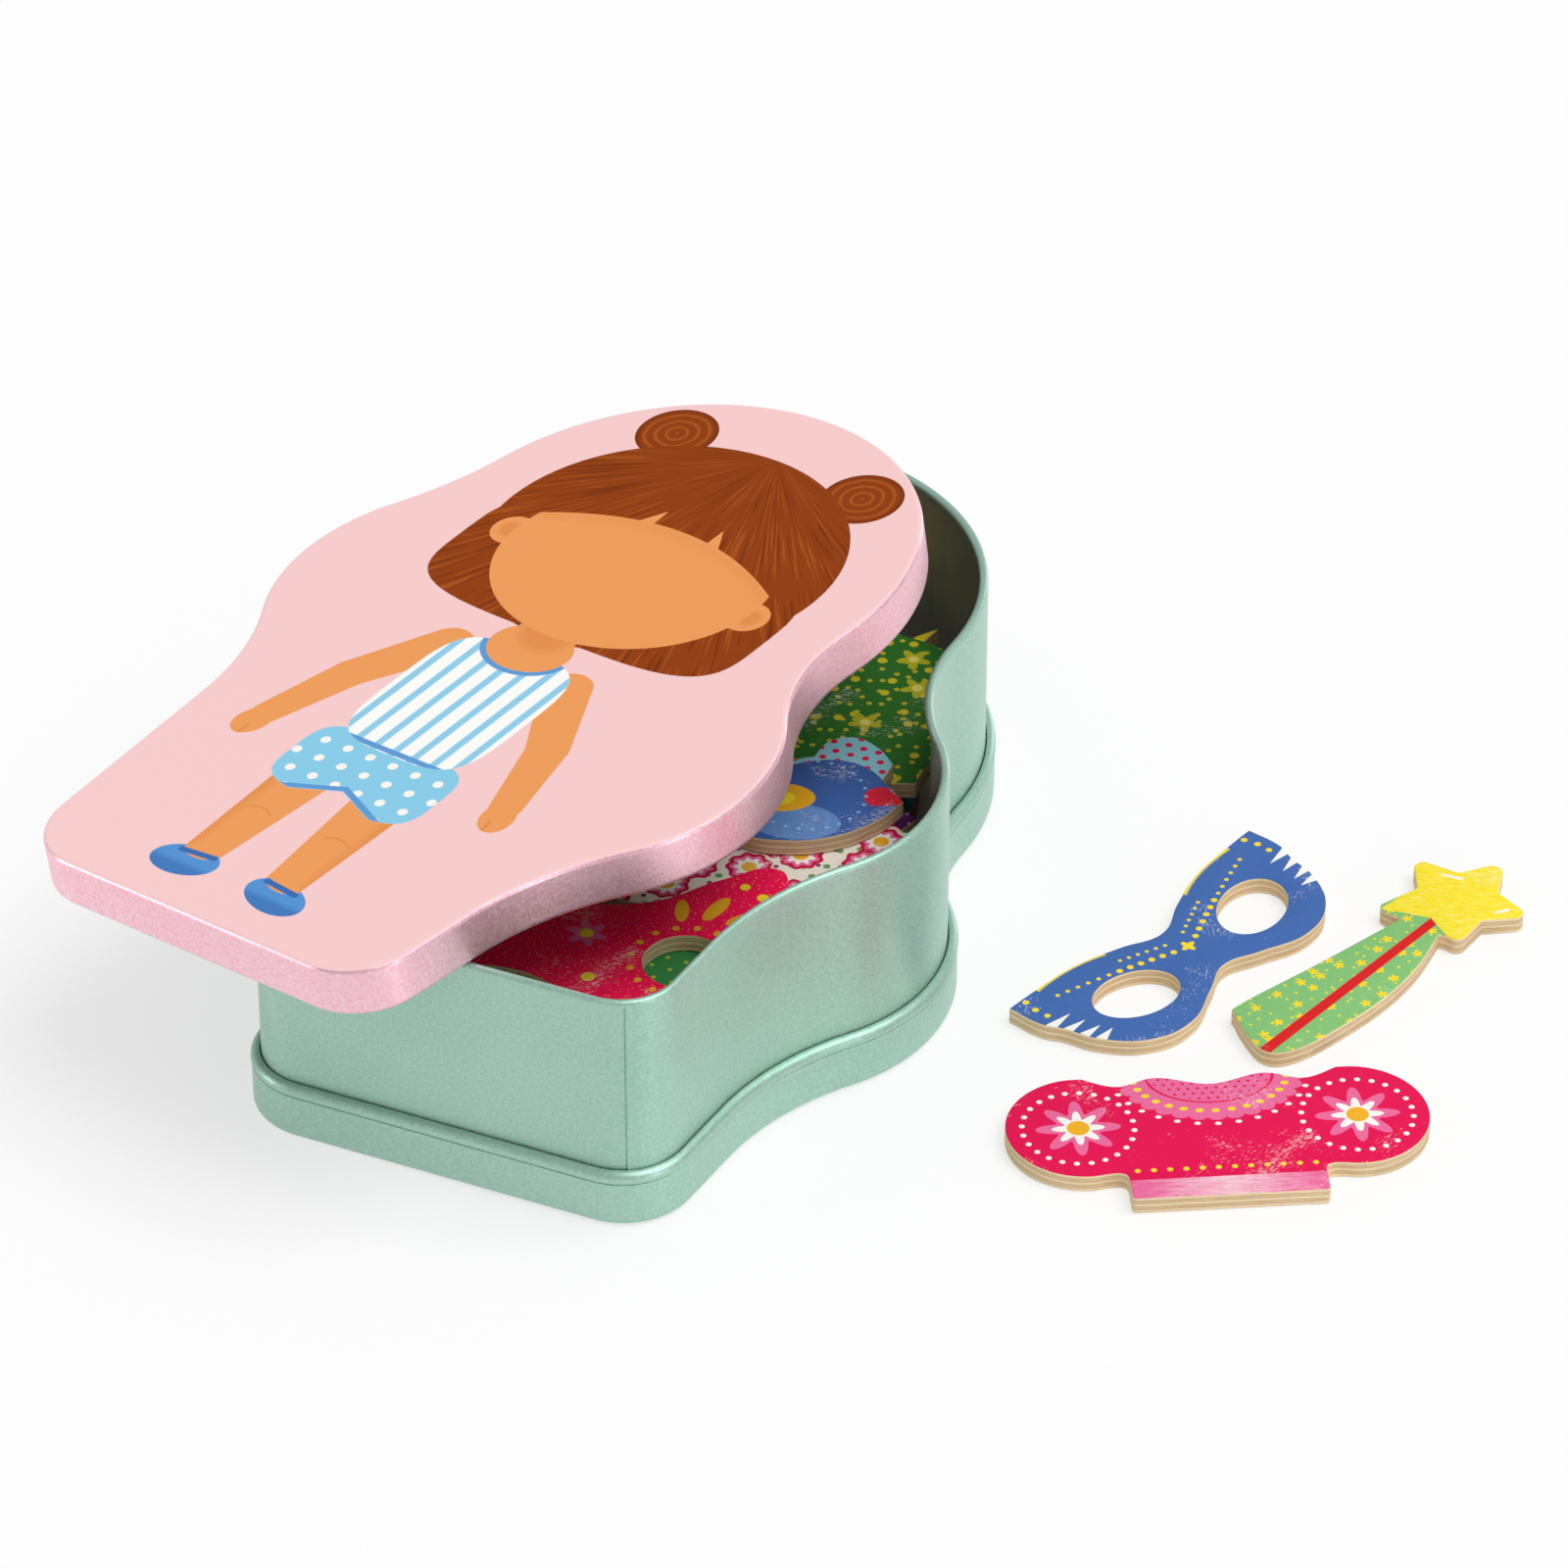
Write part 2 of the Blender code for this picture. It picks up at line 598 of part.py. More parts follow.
def build_party_mask(shop, layer, at, half_width):
    """The mask in the tin: round eyes, tall outer wings and a low brow."""
    wing = half_width * 0.84
    half = [
        (0, -wing * 0.36, False),
        (half_width * 0.36, -wing * 0.44, False),
        (half_width * 0.84, -wing * 0.4, False),
        (half_width, wing * 0.1, False),
        (half_width * 0.98, wing * 0.62, False),
        (half_width * 0.93, wing * 1.06, False),
        (half_width * 0.84, wing * 1.16, False),
        (half_width * 0.62, wing * 0.94, False),
        (half_width * 0.36, wing * 0.56, False),
        (0, wing * 0.4, False),
    ]
    curve = flat_curve("party_mask", PLY)
    smooth_spline(curve, mirrored(half))
    magnets = [(half_width * 0.76, wing * 0.66), (-half_width * 0.76, wing * 0.66)]
    mask = flat_piece(shop, curve, "crimson", magnets, at, 0, layer_height(layer))
    cut_eyes(shop, mask, half_width * 0.72, PARTY_EYE, PARTY_EYE, 0, wing * 0.11)


def build_bird(shop, layer, at):
    """A plump bird in side view: round body, short beak, tuft and tail."""
    r = BIRD_RADIUS
    outline = [
        (r * 0.74, r * 0.98, True),
        (r * 0.44, r * 1.22, False),
        (r * 0.09, r * 1.3, False),
        (-r * 0.16, r * 1.1, False),
        (-r * 0.2, r * 0.75, True),
        (-r * 0.85, r * 0.3, False),
        (-r * 1.6, r * 0.25, True),
        (-r * 1.75, -r * 0.45, True),
        (-r * 1.05, -r * 0.6, False),
        (-r * 0.35, -r * 1.02, False),
        (r * 0.13, -r * 0.95, False),
        (r * 0.6, -r * 0.68, False),
        (r * 1.0, -r * 0.14, False),
        (r * 1.14, r * 0.34, True),
        (r * 0.74, r * 0.64, True),
    ]
    curve = flat_curve("bird", PLY)
    smooth_spline(curve, outline)
    flat_piece(shop, curve, "blue", [(0, 0)], at, 0, layer_height(layer))


def build_pile(shop):
    """The clothes in the tin: a stack in the legs, one in the head, and a third between on top."""
    edge = 2 * RIM_ROLL + ROOM
    one, two = [(0.45, 0.1)], [(0.45, 0.1), (-0.45, 0.1)]

    # Lower layers: one piece from the feet to the arms, one in the head
    foot_half = FOOT_HALF - edge
    foot_length = (RIGHT_ARM_Y - FOOT_CORNER) / 2
    foot_at = (0, FOOT_CORNER + foot_length)
    build_clothes(shop, "trousers", "navy", 0, foot_at, foot_half, foot_length, one)
    build_clothes(shop, "flared_skirt", "rose", 1, foot_at, foot_half, foot_length, two)
    build_clothes(shop, "coat", "sky", 2, foot_at, foot_half, foot_length, one)
    build_clothes(shop, "shorts", "orange", 3, foot_at, foot_half, foot_length, two)
    build_clothes(shop, "tunic", "purple", 4, foot_at, foot_half, foot_length, one)
    head_half = HEAD_RADIUS - edge
    wide, tall = head_half * 0.86, head_half * 0.5
    head_at = (0, HEAD_Y)
    side = [(0.36, 0)]
    build_clothes(shop, "wings", "sky", 0, head_at, wide, tall, side)
    build_clothes(shop, "brim_hat", "navy", 1, head_at, wide, tall, side)
    build_clothes(shop, "hair_bow", "rose", 2, head_at, wide, tall, side)
    build_clothes(shop, "hood", "crimson", 3, head_at, wide, tall, side)
    build_clothes(shop, "beret", "orange", 4, head_at, wide, tall, side)

    # Upper layers: shorter pieces leave room for a third one
    short = foot_length * 0.64
    short_at = (0, FOOT_CORNER + short)
    cape_half = head_half * 0.68
    cape_at = (1.5 * ROOM, HEAD_Y + ROOM)
    cape_wide = min(wide * 1.06, neck_half() - SHEET - 0.8 * ROOM - cape_at[0])
    middle_low = short_at[1] + short + ROOM
    middle_high = min(cape_at[1] - cape_half - ROOM, RIGHT_ARM_Y + 0.8 * RIGHT_ARM_RADIUS)
    middle = (middle_high - middle_low) / 2
    middle_at = (RIGHT_ARM_X / 2, middle_low + middle)
    arm = RIGHT_ARM_RADIUS
    skirt_at = (middle_at[0] + ROOM / 2, middle_at[1] + 3 * ROOM)
    crown_at = (0, HEAD_Y + head_half * 0.42)
    vest_at = (0.75 * ROOM, short_at[1])
    build_clothes(shop, "jacket", "navy", 5, short_at, foot_half * 0.94, short, [(0.3, 0)])
    build_clothes(shop, "round_skirt", "purple", 5, skirt_at, arm, middle * 0.7, [(0, 0)], SKIRT_TURN)
    build_clothes(shop, "crown", "yellow", 5, crown_at, wide * 0.8, tall, [(0, -0.5)])
    build_clothes(shop, "vest", "leaf", 6, vest_at, foot_half * 0.9, short, [(0.5, 0)])
    build_clothes(shop, "floral_skirt", "white", 6, middle_at, arm + ROOM / 2, middle, two, pi)
    build_clothes(shop, "cape", "leaf", 6, cape_at, cape_wide, cape_half, two)
    build_party_mask(shop, 7, (ROOM, short_at[1] + ROOM), foot_half)
    build_bird(shop, 7, (RIGHT_ARM_X, middle_at[1] + 4.5 * ROOM))


def main():
    clear_scene()
    parts = new_collection("magnetic_dress_up_doll")
    cutters = new_collection("cutters")
    home = bpy.data.objects.new("doll_plan", None)
    home.location = (0, -MIDDLE_Y, 0)
    parts.objects.link(home)
    looks = {name: material(name, *values) for name, values in LOOKS.items()}
    shop = SimpleNamespace(parts=parts, cutters=cutters, looks=looks, home=home)
    build_tin(shop)
    build_lid(shop)
    build_eye_mask(shop)
    build_wand(shop)
    build_blouse(shop)
    build_pile(shop)


main()
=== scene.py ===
from math import acos, atan2, ceil, cos, hypot, pi, radians, sin, sqrt

import bmesh
import bpy
from mathutils import Euler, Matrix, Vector


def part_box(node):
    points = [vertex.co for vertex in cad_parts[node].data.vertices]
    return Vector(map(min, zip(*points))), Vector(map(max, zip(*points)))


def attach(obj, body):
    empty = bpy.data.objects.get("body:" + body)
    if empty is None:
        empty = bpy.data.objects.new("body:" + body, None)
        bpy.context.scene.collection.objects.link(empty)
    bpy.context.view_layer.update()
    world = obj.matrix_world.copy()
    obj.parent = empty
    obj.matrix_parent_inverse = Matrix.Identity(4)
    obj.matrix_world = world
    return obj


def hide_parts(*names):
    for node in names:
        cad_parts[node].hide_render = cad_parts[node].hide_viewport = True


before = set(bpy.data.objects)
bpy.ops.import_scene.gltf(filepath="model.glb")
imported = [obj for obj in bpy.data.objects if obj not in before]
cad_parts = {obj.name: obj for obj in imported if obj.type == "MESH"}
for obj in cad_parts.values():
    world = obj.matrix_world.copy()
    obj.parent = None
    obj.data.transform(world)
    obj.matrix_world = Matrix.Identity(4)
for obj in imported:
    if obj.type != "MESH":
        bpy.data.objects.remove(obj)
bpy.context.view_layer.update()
print("frame loaded:", len(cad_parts), "nodes")


def ink(red, green, blue):  # screen colour, 0 to 255, as a linear one
    return (*[((c / 255 + 0.055) / 1.055) ** 2.4 for c in (red, green, blue)], 1)


class Wire:  # a shader socket that can be used in sums
    def __init__(self, tree, socket):
        self.tree = tree
        self.socket = socket

    def node(self, kind, settings=None, values=None, out=0):
        made = self.tree.nodes.new("ShaderNode" + kind)
        for name, value in (settings or {}).items():
            setattr(made, name, value)
        for name, value in (values or {}).items():
            if isinstance(value, Wire):
                self.tree.links.new(value.socket, made.inputs[name])
            else:
                made.inputs[name].default_value = value
        return Wire(self.tree, made.outputs[out])

    def calc(self, operation, *others, clamp=False):
        settings = {"operation": operation, "use_clamp": clamp}
        return self.node("Math", settings, dict(enumerate((self, *others))))

    def space(self, operation, other=(0, 0, 0), out=0):
        return self.node("VectorMath", {"operation": operation}, {0: self, 1: other}, out)

    def __add__(self, other):
        return self.calc("ADD", other)

    def __radd__(self, other):
        return self + other

    def __sub__(self, other):
        return self.calc("SUBTRACT", other)

    def __rsub__(self, other):
        return self.node("Math", {"operation": "SUBTRACT"}, {0: other, 1: self})

    def __mul__(self, other):
        return self.calc("MULTIPLY", other)

    def __rmul__(self, other):
        return self * other

    def __truediv__(self, other):
        return self.calc("DIVIDE", other)

    def __abs__(self):
        return self.calc("ABSOLUTE")


def axes(at):
    first = at.node("SeparateXYZ", values={0: at})
    return [Wire(at.tree, socket) for socket in first.socket.node.outputs]


def millimetres(place):  # plan position on a piece
    return place.space("MULTIPLY", (1000, 1000, 0))


def folded(at):  # both halves drawn as one
    x, y = axes(at)[:2]
    return at.node("CombineXYZ", values={0: abs(x), 1: y})


def edge(depth, soft=0.16):  # 1 inside, 0 outside
    return depth.calc("MULTIPLY_ADD", 1 / soft, 0.5, clamp=True)


def disc(at, centre, radius, soft=0.16):
    return edge(radius - at.space("DISTANCE", (*centre, 0), 1), soft)


def turned(at, centre, turn):
    moved = at.space("SUBTRACT", (*centre, 0))
    return moved.node("VectorRotate", {"rotation_type": "Z_AXIS"}, {"Vector": moved, "Angle": -turn})


def ovalSize(at, centre, reach, turn=0.0):  # 1 on the oval's line
    return turned(at, centre, turn).space("DIVIDE", (*reach, 1)).space("LENGTH", out=1)


def oval(at, centre, reach, turn=0.0, soft=0.16):
    return edge((1 - ovalSize(at, centre, reach, turn)) * min(reach), soft)


def block(at, centre, reach, soft=0.16):  # a box with round corners
    x, y = axes(at.space("SUBTRACT", (*centre, 0)).space("DIVIDE", (*reach, 1)))[:2]
    size = (x * x * x * x + y * y * y * y).calc("POWER", 0.25)
    return edge((1 - size) * min(reach), soft)


def limb(at, start, end, wide, narrow, soft=0.16):  # a tapered bar with round ends
    run = Vector(end) - Vector(start)
    moved = at.space("SUBTRACT", (*start, 0))
    share = moved.space("DOT_PRODUCT", (*(run / run.length_squared), 0), 1).calc("ADD", 0, clamp=True)
    nearest = share.node("VectorMath", {"operation": "SCALE"}, {0: (*run, 0), "Scale": share})
    return edge(wide + (narrow - wide) * share - moved.space("DISTANCE", nearest, 1), soft)


def flower(at, centre, reach, petals, soft=0.2):
    x, y = axes(at.space("SUBTRACT", (*centre, 0)))[:2]
    ripple = (y.calc("ARCTAN2", x) * petals).calc("COSINE")
    return edge(reach * (0.76 + 0.24 * ripple) - (x * x + y * y).calc("SQRT"), soft)


def beads(at, centre, reach, turn, count, radius):  # dots on an oval line
    middle = (reach[0] + reach[1]) / 2
    x, y = axes(turned(at, centre, turn).space("DIVIDE", (*reach, 1)))[:2]
    step = (y.calc("ARCTAN2", x) * (count / (2 * pi))).calc("FRACT") - 0.5
    along = step * (2 * pi * middle / count)
    out = ((x * x + y * y).calc("SQRT") - 1) * middle
    return edge(radius - (along * along + out * out).calc("SQRT"))


def rows(at, pitch, radius):  # dots in staggered rows
    x, y = axes(at)[:2]
    lift = y / pitch[1]
    row = lift.calc("FLOOR")
    across = ((x / pitch[0] + (row * 0.5).calc("FRACT")).calc("FRACT") - 0.5) * pitch[0]
    up = (lift - row - 0.5) * pitch[1]
    return edge(radius - (across * across + up * up).calc("SQRT"))


def scattered(at, pitch, radius, jumble=0.75):  # loose dots
    cells = {"Vector": at, "Scale": 1 / pitch, "Randomness": jumble}
    gap = at.node("TexVoronoi", {"voronoi_dimensions": "2D"}, cells)
    return edge(radius - gap * pitch)


def sprigs(at, pitch, petals, jumble):  # loose flowers: how far from a middle, and the ripple of the petals
    cells = {"Vector": at, "Scale": 1 / pitch, "Randomness": jumble}
    middle = at.node("TexVoronoi", {"voronoi_dimensions": "2D"}, cells, 2)
    x, y = axes(at.space("SUBTRACT", middle))[:2]
    return (x * x + y * y).calc("SQRT"), (y.calc("ARCTAN2", x) * petals).calc("COSINE")


def dotLine(at, curve, pitch, radius, span):  # dots on y = a + b x + c x x
    x, y = axes(at)[:2]
    middle = ((x / pitch).calc("FLOOR") + 0.5) * pitch
    across, up = x - middle, y - (curve[0] + middle * (curve[1] + middle * curve[2]))
    gap = (across * across + up * up).calc("SQRT")
    return edge(radius - gap) * edge(middle - span[0]) * edge(span[1] - middle)


def bars(along, pitch, share, soft=0.1):  # stripes across a direction
    step = abs((along / pitch).calc("FRACT") - 0.5)
    return edge((step - 0.5 + share / 2) * pitch, soft)


def noise(place, scale, detail=2.0, rough=0.5):
    values = {"Vector": place, "Scale": scale, "Detail": detail, "Roughness": rough}
    return place.node("TexNoise", values=values)


def stretched(place, size):
    return place.space("MULTIPLY", size)


def blend(below, above, share):
    return share.node("Mix", {"data_type": "RGBA"}, {0: share, 6: below, 7: above}, 2)


def layered(ground, layers):
    for mask, tint in layers:
        ground = blend(ground, tint, mask)
    return ground


def bump(height, strength, distance):
    return height.node("Bump", values={"Strength": strength, "Distance": distance, "Height": height})


def rolled(sheet):
    return {"Metallic": sheet["metallic"], "Anisotropic": sheet["spread"], "Anisotropic Rotation": 0.25}


def finish(name, fixed, paint):
    made = bpy.data.materials.new(name)
    made.use_nodes = True
    tree = made.node_tree
    shader = tree.nodes["Principled BSDF"]
    for socket, value in fixed.items():
        shader.inputs[socket].default_value = value
    place = Wire(tree, tree.nodes.new("ShaderNodeTexCoord").outputs["Object"])
    for socket, wire in paint(place).items():
        tree.links.new(wire.socket, shader.inputs[socket])
    return made


# rolled sheet: spread draws the gloss out across the rolling lines, up and down the walls
mint = {
    "light": ink(186, 222, 206), "deep": ink(140, 180, 163), "cloud": 38, "speckle": 1.3, "shift": 0.3,
    "grain": 1300, "metallic": 0.6, "roughness": 0.4, "spread": 0.5, "relief": 0.3,
}
pinkMetal = {
    "light": ink(255, 226, 233), "deep": ink(234, 158, 178), "cloud": 50, "speckle": 1.5, "shift": 0.4,
    "grain": 1300, "metallic": 0.82, "roughness": 0.37, "spread": 0.6, "relief": 0.2,
}
tinplate = {
    "light": ink(206, 211, 202), "deep": ink(153, 156, 142), "cloud": 30,
    "grain": 900, "metallic": 0.7, "roughness": 0.3, "spread": 0.6, "relief": 0.1,
}


def enamel(sheet):  # a cloudy colour with a fine metallic speckle
    def paint(place):
        grain = noise(place, sheet["grain"], 3, 0.7)
        shade = noise(place, sheet["cloud"]) * 0.3 + grain * sheet["speckle"] - sheet["shift"]
        return {
            "Base Color": blend(sheet["deep"], sheet["light"], shade),
            "Roughness": sheet["roughness"] - 0.1 + grain * 0.2,
            "Normal": bump(grain, sheet["relief"], 0.0002),
        }
    return paint


def tinplatePaint(place):
    drawn = noise(stretched(place, (1, 1, 0.08)), tinplate["grain"], 3, 0.6)
    shade = noise(place, tinplate["cloud"]) * 0.5 + drawn * 0.5
    return {
        "Base Color": blend(tinplate["deep"], tinplate["light"], shade),
        "Roughness": tinplate["roughness"] - 0.08 + drawn * 0.2,
        "Normal": bump(drawn, tinplate["relief"], 0.0001),
    }


plywood = {
    "plies": 5, "thick": 4.0,
    "pale": ink(242, 218, 178), "dark": ink(198, 160, 112), "glue": ink(134, 96, 58),
    "wander": 110, "fibre": 1700, "streak": 3200, "grain": 700, "figure": 90,
}
dryInk = {
    "grain": 1400, "stroke": 1.5, "strokeTurn": radians(35), "patch": 90,
    "chalk": ink(255, 246, 240), "chalkShare": 0.42, "shade": ink(60, 30, 40), "shadeShare": 0.12,
}


def plyEdgePaint(place):
    z = axes(place.space("MULTIPLY", (1000, 1000, 1000)))[2]
    wander = noise(place, plywood["wander"], 2) - 0.5
    level = (z + wander * 0.3) / (plywood["thick"] / plywood["plies"])
    cross = (level.calc("FLOOR") * 0.5).calc("FRACT") * 2
    fibre = noise(stretched(place, (1, 1, 0.25)), plywood["fibre"], 3, 0.65)
    streak = noise(stretched(place, (0.06, 0.06, 1)), plywood["streak"], 3, 0.65)
    tone = cross * 0.3 + fibre * 0.4 * cross + streak * 1.3 - 0.62
    joint = edge(abs(level.calc("FRACT") - 0.5) - 0.43, 0.1)
    colour = blend(blend(plywood["pale"], plywood["dark"], tone), plywood["glue"], joint * 0.6)
    return {"Base Color": colour, "Roughness": 0.6 + fibre * 0.2, "Normal": bump(fibre, 0.3, 0.0001)}


def plyBackPaint(place):
    grain = noise(stretched(place, (0.1, 1, 1)), plywood["grain"], 4, 0.6)
    figure = noise(stretched(place, (0.15, 1, 1)), plywood["figure"], 2)
    colour = blend(plywood["pale"], plywood["dark"], figure * 0.5 + grain * 0.5 - 0.2)
    return {"Base Color": colour, "Roughness": 0.58 + grain * 0.2, "Normal": bump(grain, 0.25, 0.0001)}


def printed(design, turn):  # ink on plywood: the drawing, then dry chalky strokes
    def paint(place):
        at = turned(millimetres(place), (0, 0), turn)
        colour = layered(*design(at))
        grain = noise(place, dryInk["grain"], 3, 0.65)
        slanted = turned(at, (0, 0), dryInk["strokeTurn"])
        strokes = noise(stretched(slanted, (0.4, 1.5, 1)), dryInk["stroke"], 3, 0.65)
        patch = noise(place, dryInk["patch"], 2)
        chalk = edge(strokes * 0.8 + patch * 0.8 - 0.98, 0.06) * edge(grain - 0.47, 0.1)
        colour = blend(colour, dryInk["chalk"], chalk * dryInk["chalkShare"])
        colour = blend(colour, dryInk["shade"], edge(0.38 - grain, 0.2) * dryInk["shadeShare"])
        return {"Base Color": colour, "Roughness": 0.45 + grain * 0.16, "Normal": bump(grain, 0.1, 0.0001)}
    return paint


def ferritePaint(place):
    speck = noise(place, 3000, 2, 0.6)
    colour = blend(ink(44, 44, 47), ink(92, 92, 96), speck)
    return {"Base Color": colour, "Roughness": 0.5 + speck * 0.2, "Normal": bump(speck, 0.3, 0.0001)}


# the prints are drawn in millimetres from each piece's own place
yellow, white, crimson, rose = ink(250, 222, 44), ink(250, 247, 240), ink(232, 20, 84), ink(238, 110, 160)
sky, navy, leaf, deepLeaf = ink(138, 205, 233), ink(30, 52, 98), ink(136, 197, 122), ink(56, 124, 46)
orange, purple, gold, blue = ink(240, 140, 52), ink(98, 36, 110), ink(244, 180, 40), ink(70, 108, 176)


def eyeMaskPrint(at):
    half = folded(at)
    x, y = axes(half)[:2]
    brow = ovalSize(half, (30, 5), (25, 12.2))
    teeth = [
        ((41.5, 6.6), (35.2, 6.4)), ((40.6, 3.2), (34.8, 2.6)),
        ((39.4, -0.6), (34.2, -1.0)), ((37.8, -4.2), (33.2, -3.6)),
    ]
    return blue, [
        (edge((brow - 0.93) * 12, 0.3) * edge(x - 14) * edge(33.5 - x) * edge(y - 9), yellow),
        (dotLine(half, (1.2, 0.42, -0.0022), 2.55, 0.72, (2.4, 19)), yellow),
        (dotLine(half, (1.2, 0.42, -0.0022), 2.55, 0.5, (19, 34)), yellow),
        (dotLine(half, (4.4, 0.42, -0.002), 2.1, 0.45, (2, 15)), yellow),
        (flower(half, (0, 1.8), 1.9, 4), yellow),
        *[(limb(half, start, end, 1.25, 0.05), white) for start, end in teeth],
        (disc(half, (38.2, 16.0), 0.75), yellow),
        (disc(half, (38.9, 12.8), 0.75), yellow),
        (disc(half, (38.8, 9.6), 0.7), yellow),
    ]


def starField(at, long, notch):  # a five-pointed star, point up
    x, y = axes(at)[:2]
    fifth = 2 * pi / 5
    turn = ((x.calc("ARCTAN2", y) + 10.5 * fifth) / fifth).calc("FRACT") * fifth - fifth / 2
    away = (x * x + y * y).calc("SQRT")
    across, along = abs(turn).calc("SINE") * away, turn.calc("COSINE") * away
    side, rise = notch * sin(fifth / 2), long - notch * cos(fifth / 2)
    return ((long - along) * side - across * rise) / hypot(side, rise)


def wandPrint(at):
    away, ripple = sprigs(at, 5.6, 5, 0.8)
    depth = starField(at, 17.4, 9.6)
    brushed = noise(stretched(turned(at, (0, 0), radians(30)), (0.25, 1.4, 1)), 1.2, 3, 0.6)
    return leaf, [
        (scattered(at, 3.7, 0.36, 0.9), ink(226, 226, 70)),
        (edge(0.95 + 0.34 * ripple - away), yellow),
        (limb(at, (1.2, -8), (1.9, -72), 1.15, 1.35), ink(222, 36, 40)),
        (edge(depth), ink(254, 232, 52)),
        (edge(depth) * edge(brushed - 0.57, 0.12) * 0.6, ink(255, 242, 130)),
        (edge(depth) * edge(0.42 - brushed, 0.1) * 0.5, ink(244, 208, 40)),
        (limb(at, (-7.6, 4.4), (-3.6, 6.0), 0.3, 0.5), white),
        (limb(at, (9.4, 1.0), (10.8, 3.6), 0.3, 0.5), white),
    ]


def blousePrint(at):
    half = folded(at)
    x, y = axes(half)[:2]
    collar, sleeve = (0, 15.2), (29.5, -0.3)
    hem = edge(-18.4 - y)
    brushed = noise(stretched(at, (0.16, 1.6, 1)), 1.0, 3, 0.6)
    glow = edge(brushed * 0.6 - 0.2 - x * 0.014, 0.3) * 0.9
    return crimson, [
        (beads(half, collar, (18.2, 13.6), 0, 30, 1.7), rose),
        (oval(half, collar, (18.2, 13.6)), rose),
        (beads(half, collar, (20.9, 16.2), 0, 30, 0.6), white),
        (beads(half, collar, (16.4, 11.8), 0, 30, 0.75), yellow),
        (edge(0.28 - abs(ovalSize(half, collar, (13.4, 9.0)) - 1) * 11), crimson),
        (oval(half, collar, (12.6, 8.2)) * rows(half, (2.0, 1.7), 0.38), crimson),
        (beads(half, sleeve, (11.8, 11.8), 0, 24, 0.62), white),
        (flower(half, sleeve, 9.0, 8), rose),
        (flower(half, sleeve, 5.6, 8), white),
        (disc(half, sleeve, 2.4), gold),
        (dotLine(half, (-15.4, 0, 0), 3.4, 0.62, (0, 19.5)), yellow),
        (hem, rose),
        (hem * glow, ink(252, 216, 226)),
    ]


def partyMaskPrint(at):
    half = folded(at)
    return ink(255, 22, 84), [
        (scattered(at, 1.7, 0.13, 1.0), gold),
        (beads(half, (30.4, 3.9), (11.6, 11.6), 0, 16, 0.8), gold),
        (flower(half, (7.5, 4.5), 4.6, 6), rose),
        (disc(half, (7.5, 4.5), 1.5), yellow),
        (oval(half, (29, 23), (4.6, 1.7), radians(80)), gold),
        (oval(half, (22.6, 19.6), (3.8, 1.5), radians(112)), gold),
        (oval(half, (35.4, 22), (3.8, 1.5), radians(52)), gold),
        (disc(half, (36.5, 30.5), 1.3), yellow),
        (disc(half, (31.5, 32.5), 1.1), yellow),
        (disc(half, (14, -9), 1.5), yellow),
        (disc(half, (28, -12.4), 1.0), yellow),
    ]


def birdPrint(at):
    x, y = axes(at)[:2]
    lean = x - 5
    tuft = edge(y - 14.6 + lean * lean * 0.045)
    feather = edge(abs((x * 0.28 + y * 0.12).calc("FRACT") - 0.5) - 0.4, 0.12)
    tail = edge(-17 - x)
    return ink(66, 102, 172), [
        (oval(at, (2, -10), (10, 6.4), radians(14)), ink(104, 146, 206)),
        (tail, sky),
        (tail * feather, blue),
        (oval(at, (-5, -3.5), (8.4, 5.2), radians(20)), gold),
        (oval(at, (-6.4, -4.2), (5.6, 3.0), radians(20)), yellow),
        (tuft, ink(150, 214, 228)),
        (tuft * rows(at, (3.5, 3.1), 0.8), crimson),
        (limb(at, (15.6, 5.4), (21, 5.2), 3.6, 0.6), ink(226, 40, 62)),
        (beads(at, (1, 0), (12.4, 12.4), 0, 26, 0.42), ink(150, 190, 232)),
    ]


def skirtPrint(at):
    away, ripple = sprigs(at, 11, 9, 0.5)
    return ink(246, 238, 224), [
        (scattered(at, 4.6, 0.8, 0.9), ink(112, 160, 92)),
        (scattered(at, 6.1, 0.6, 0.9), ink(150, 60, 120)),
        (edge(4.9 + 0.3 * ripple - away), ink(206, 22, 74)),
        (edge(3.9 + 0.4 * ripple - away), rose),
        (edge(2.9 + 0.5 * ripple - away), white),
        (edge(1.7 - away), gold),
    ]


def capePrint(at):
    away, ripple = sprigs(at, 19, 5, 0.7)
    return deepLeaf, [
        (scattered(at, 3.9, 0.62, 0.85), ink(206, 200, 52)),
        (scattered(at, 7.4, 1.05, 0.85), ink(226, 210, 50)),
        (edge(2.9 + 1.0 * ripple - away), ink(200, 196, 44)),
        (edge(1.2 - away), ink(244, 232, 120)),
    ]


def dotted(ground, tint, pitch, radius):
    def design(at):
        return ground, [(rows(at, (pitch, pitch * 0.87), radius), tint)]
    return design


def striped(ground, tint, pitch, share):
    def design(at):
        return ground, [(bars(axes(at)[1], pitch, share), tint)]
    return design


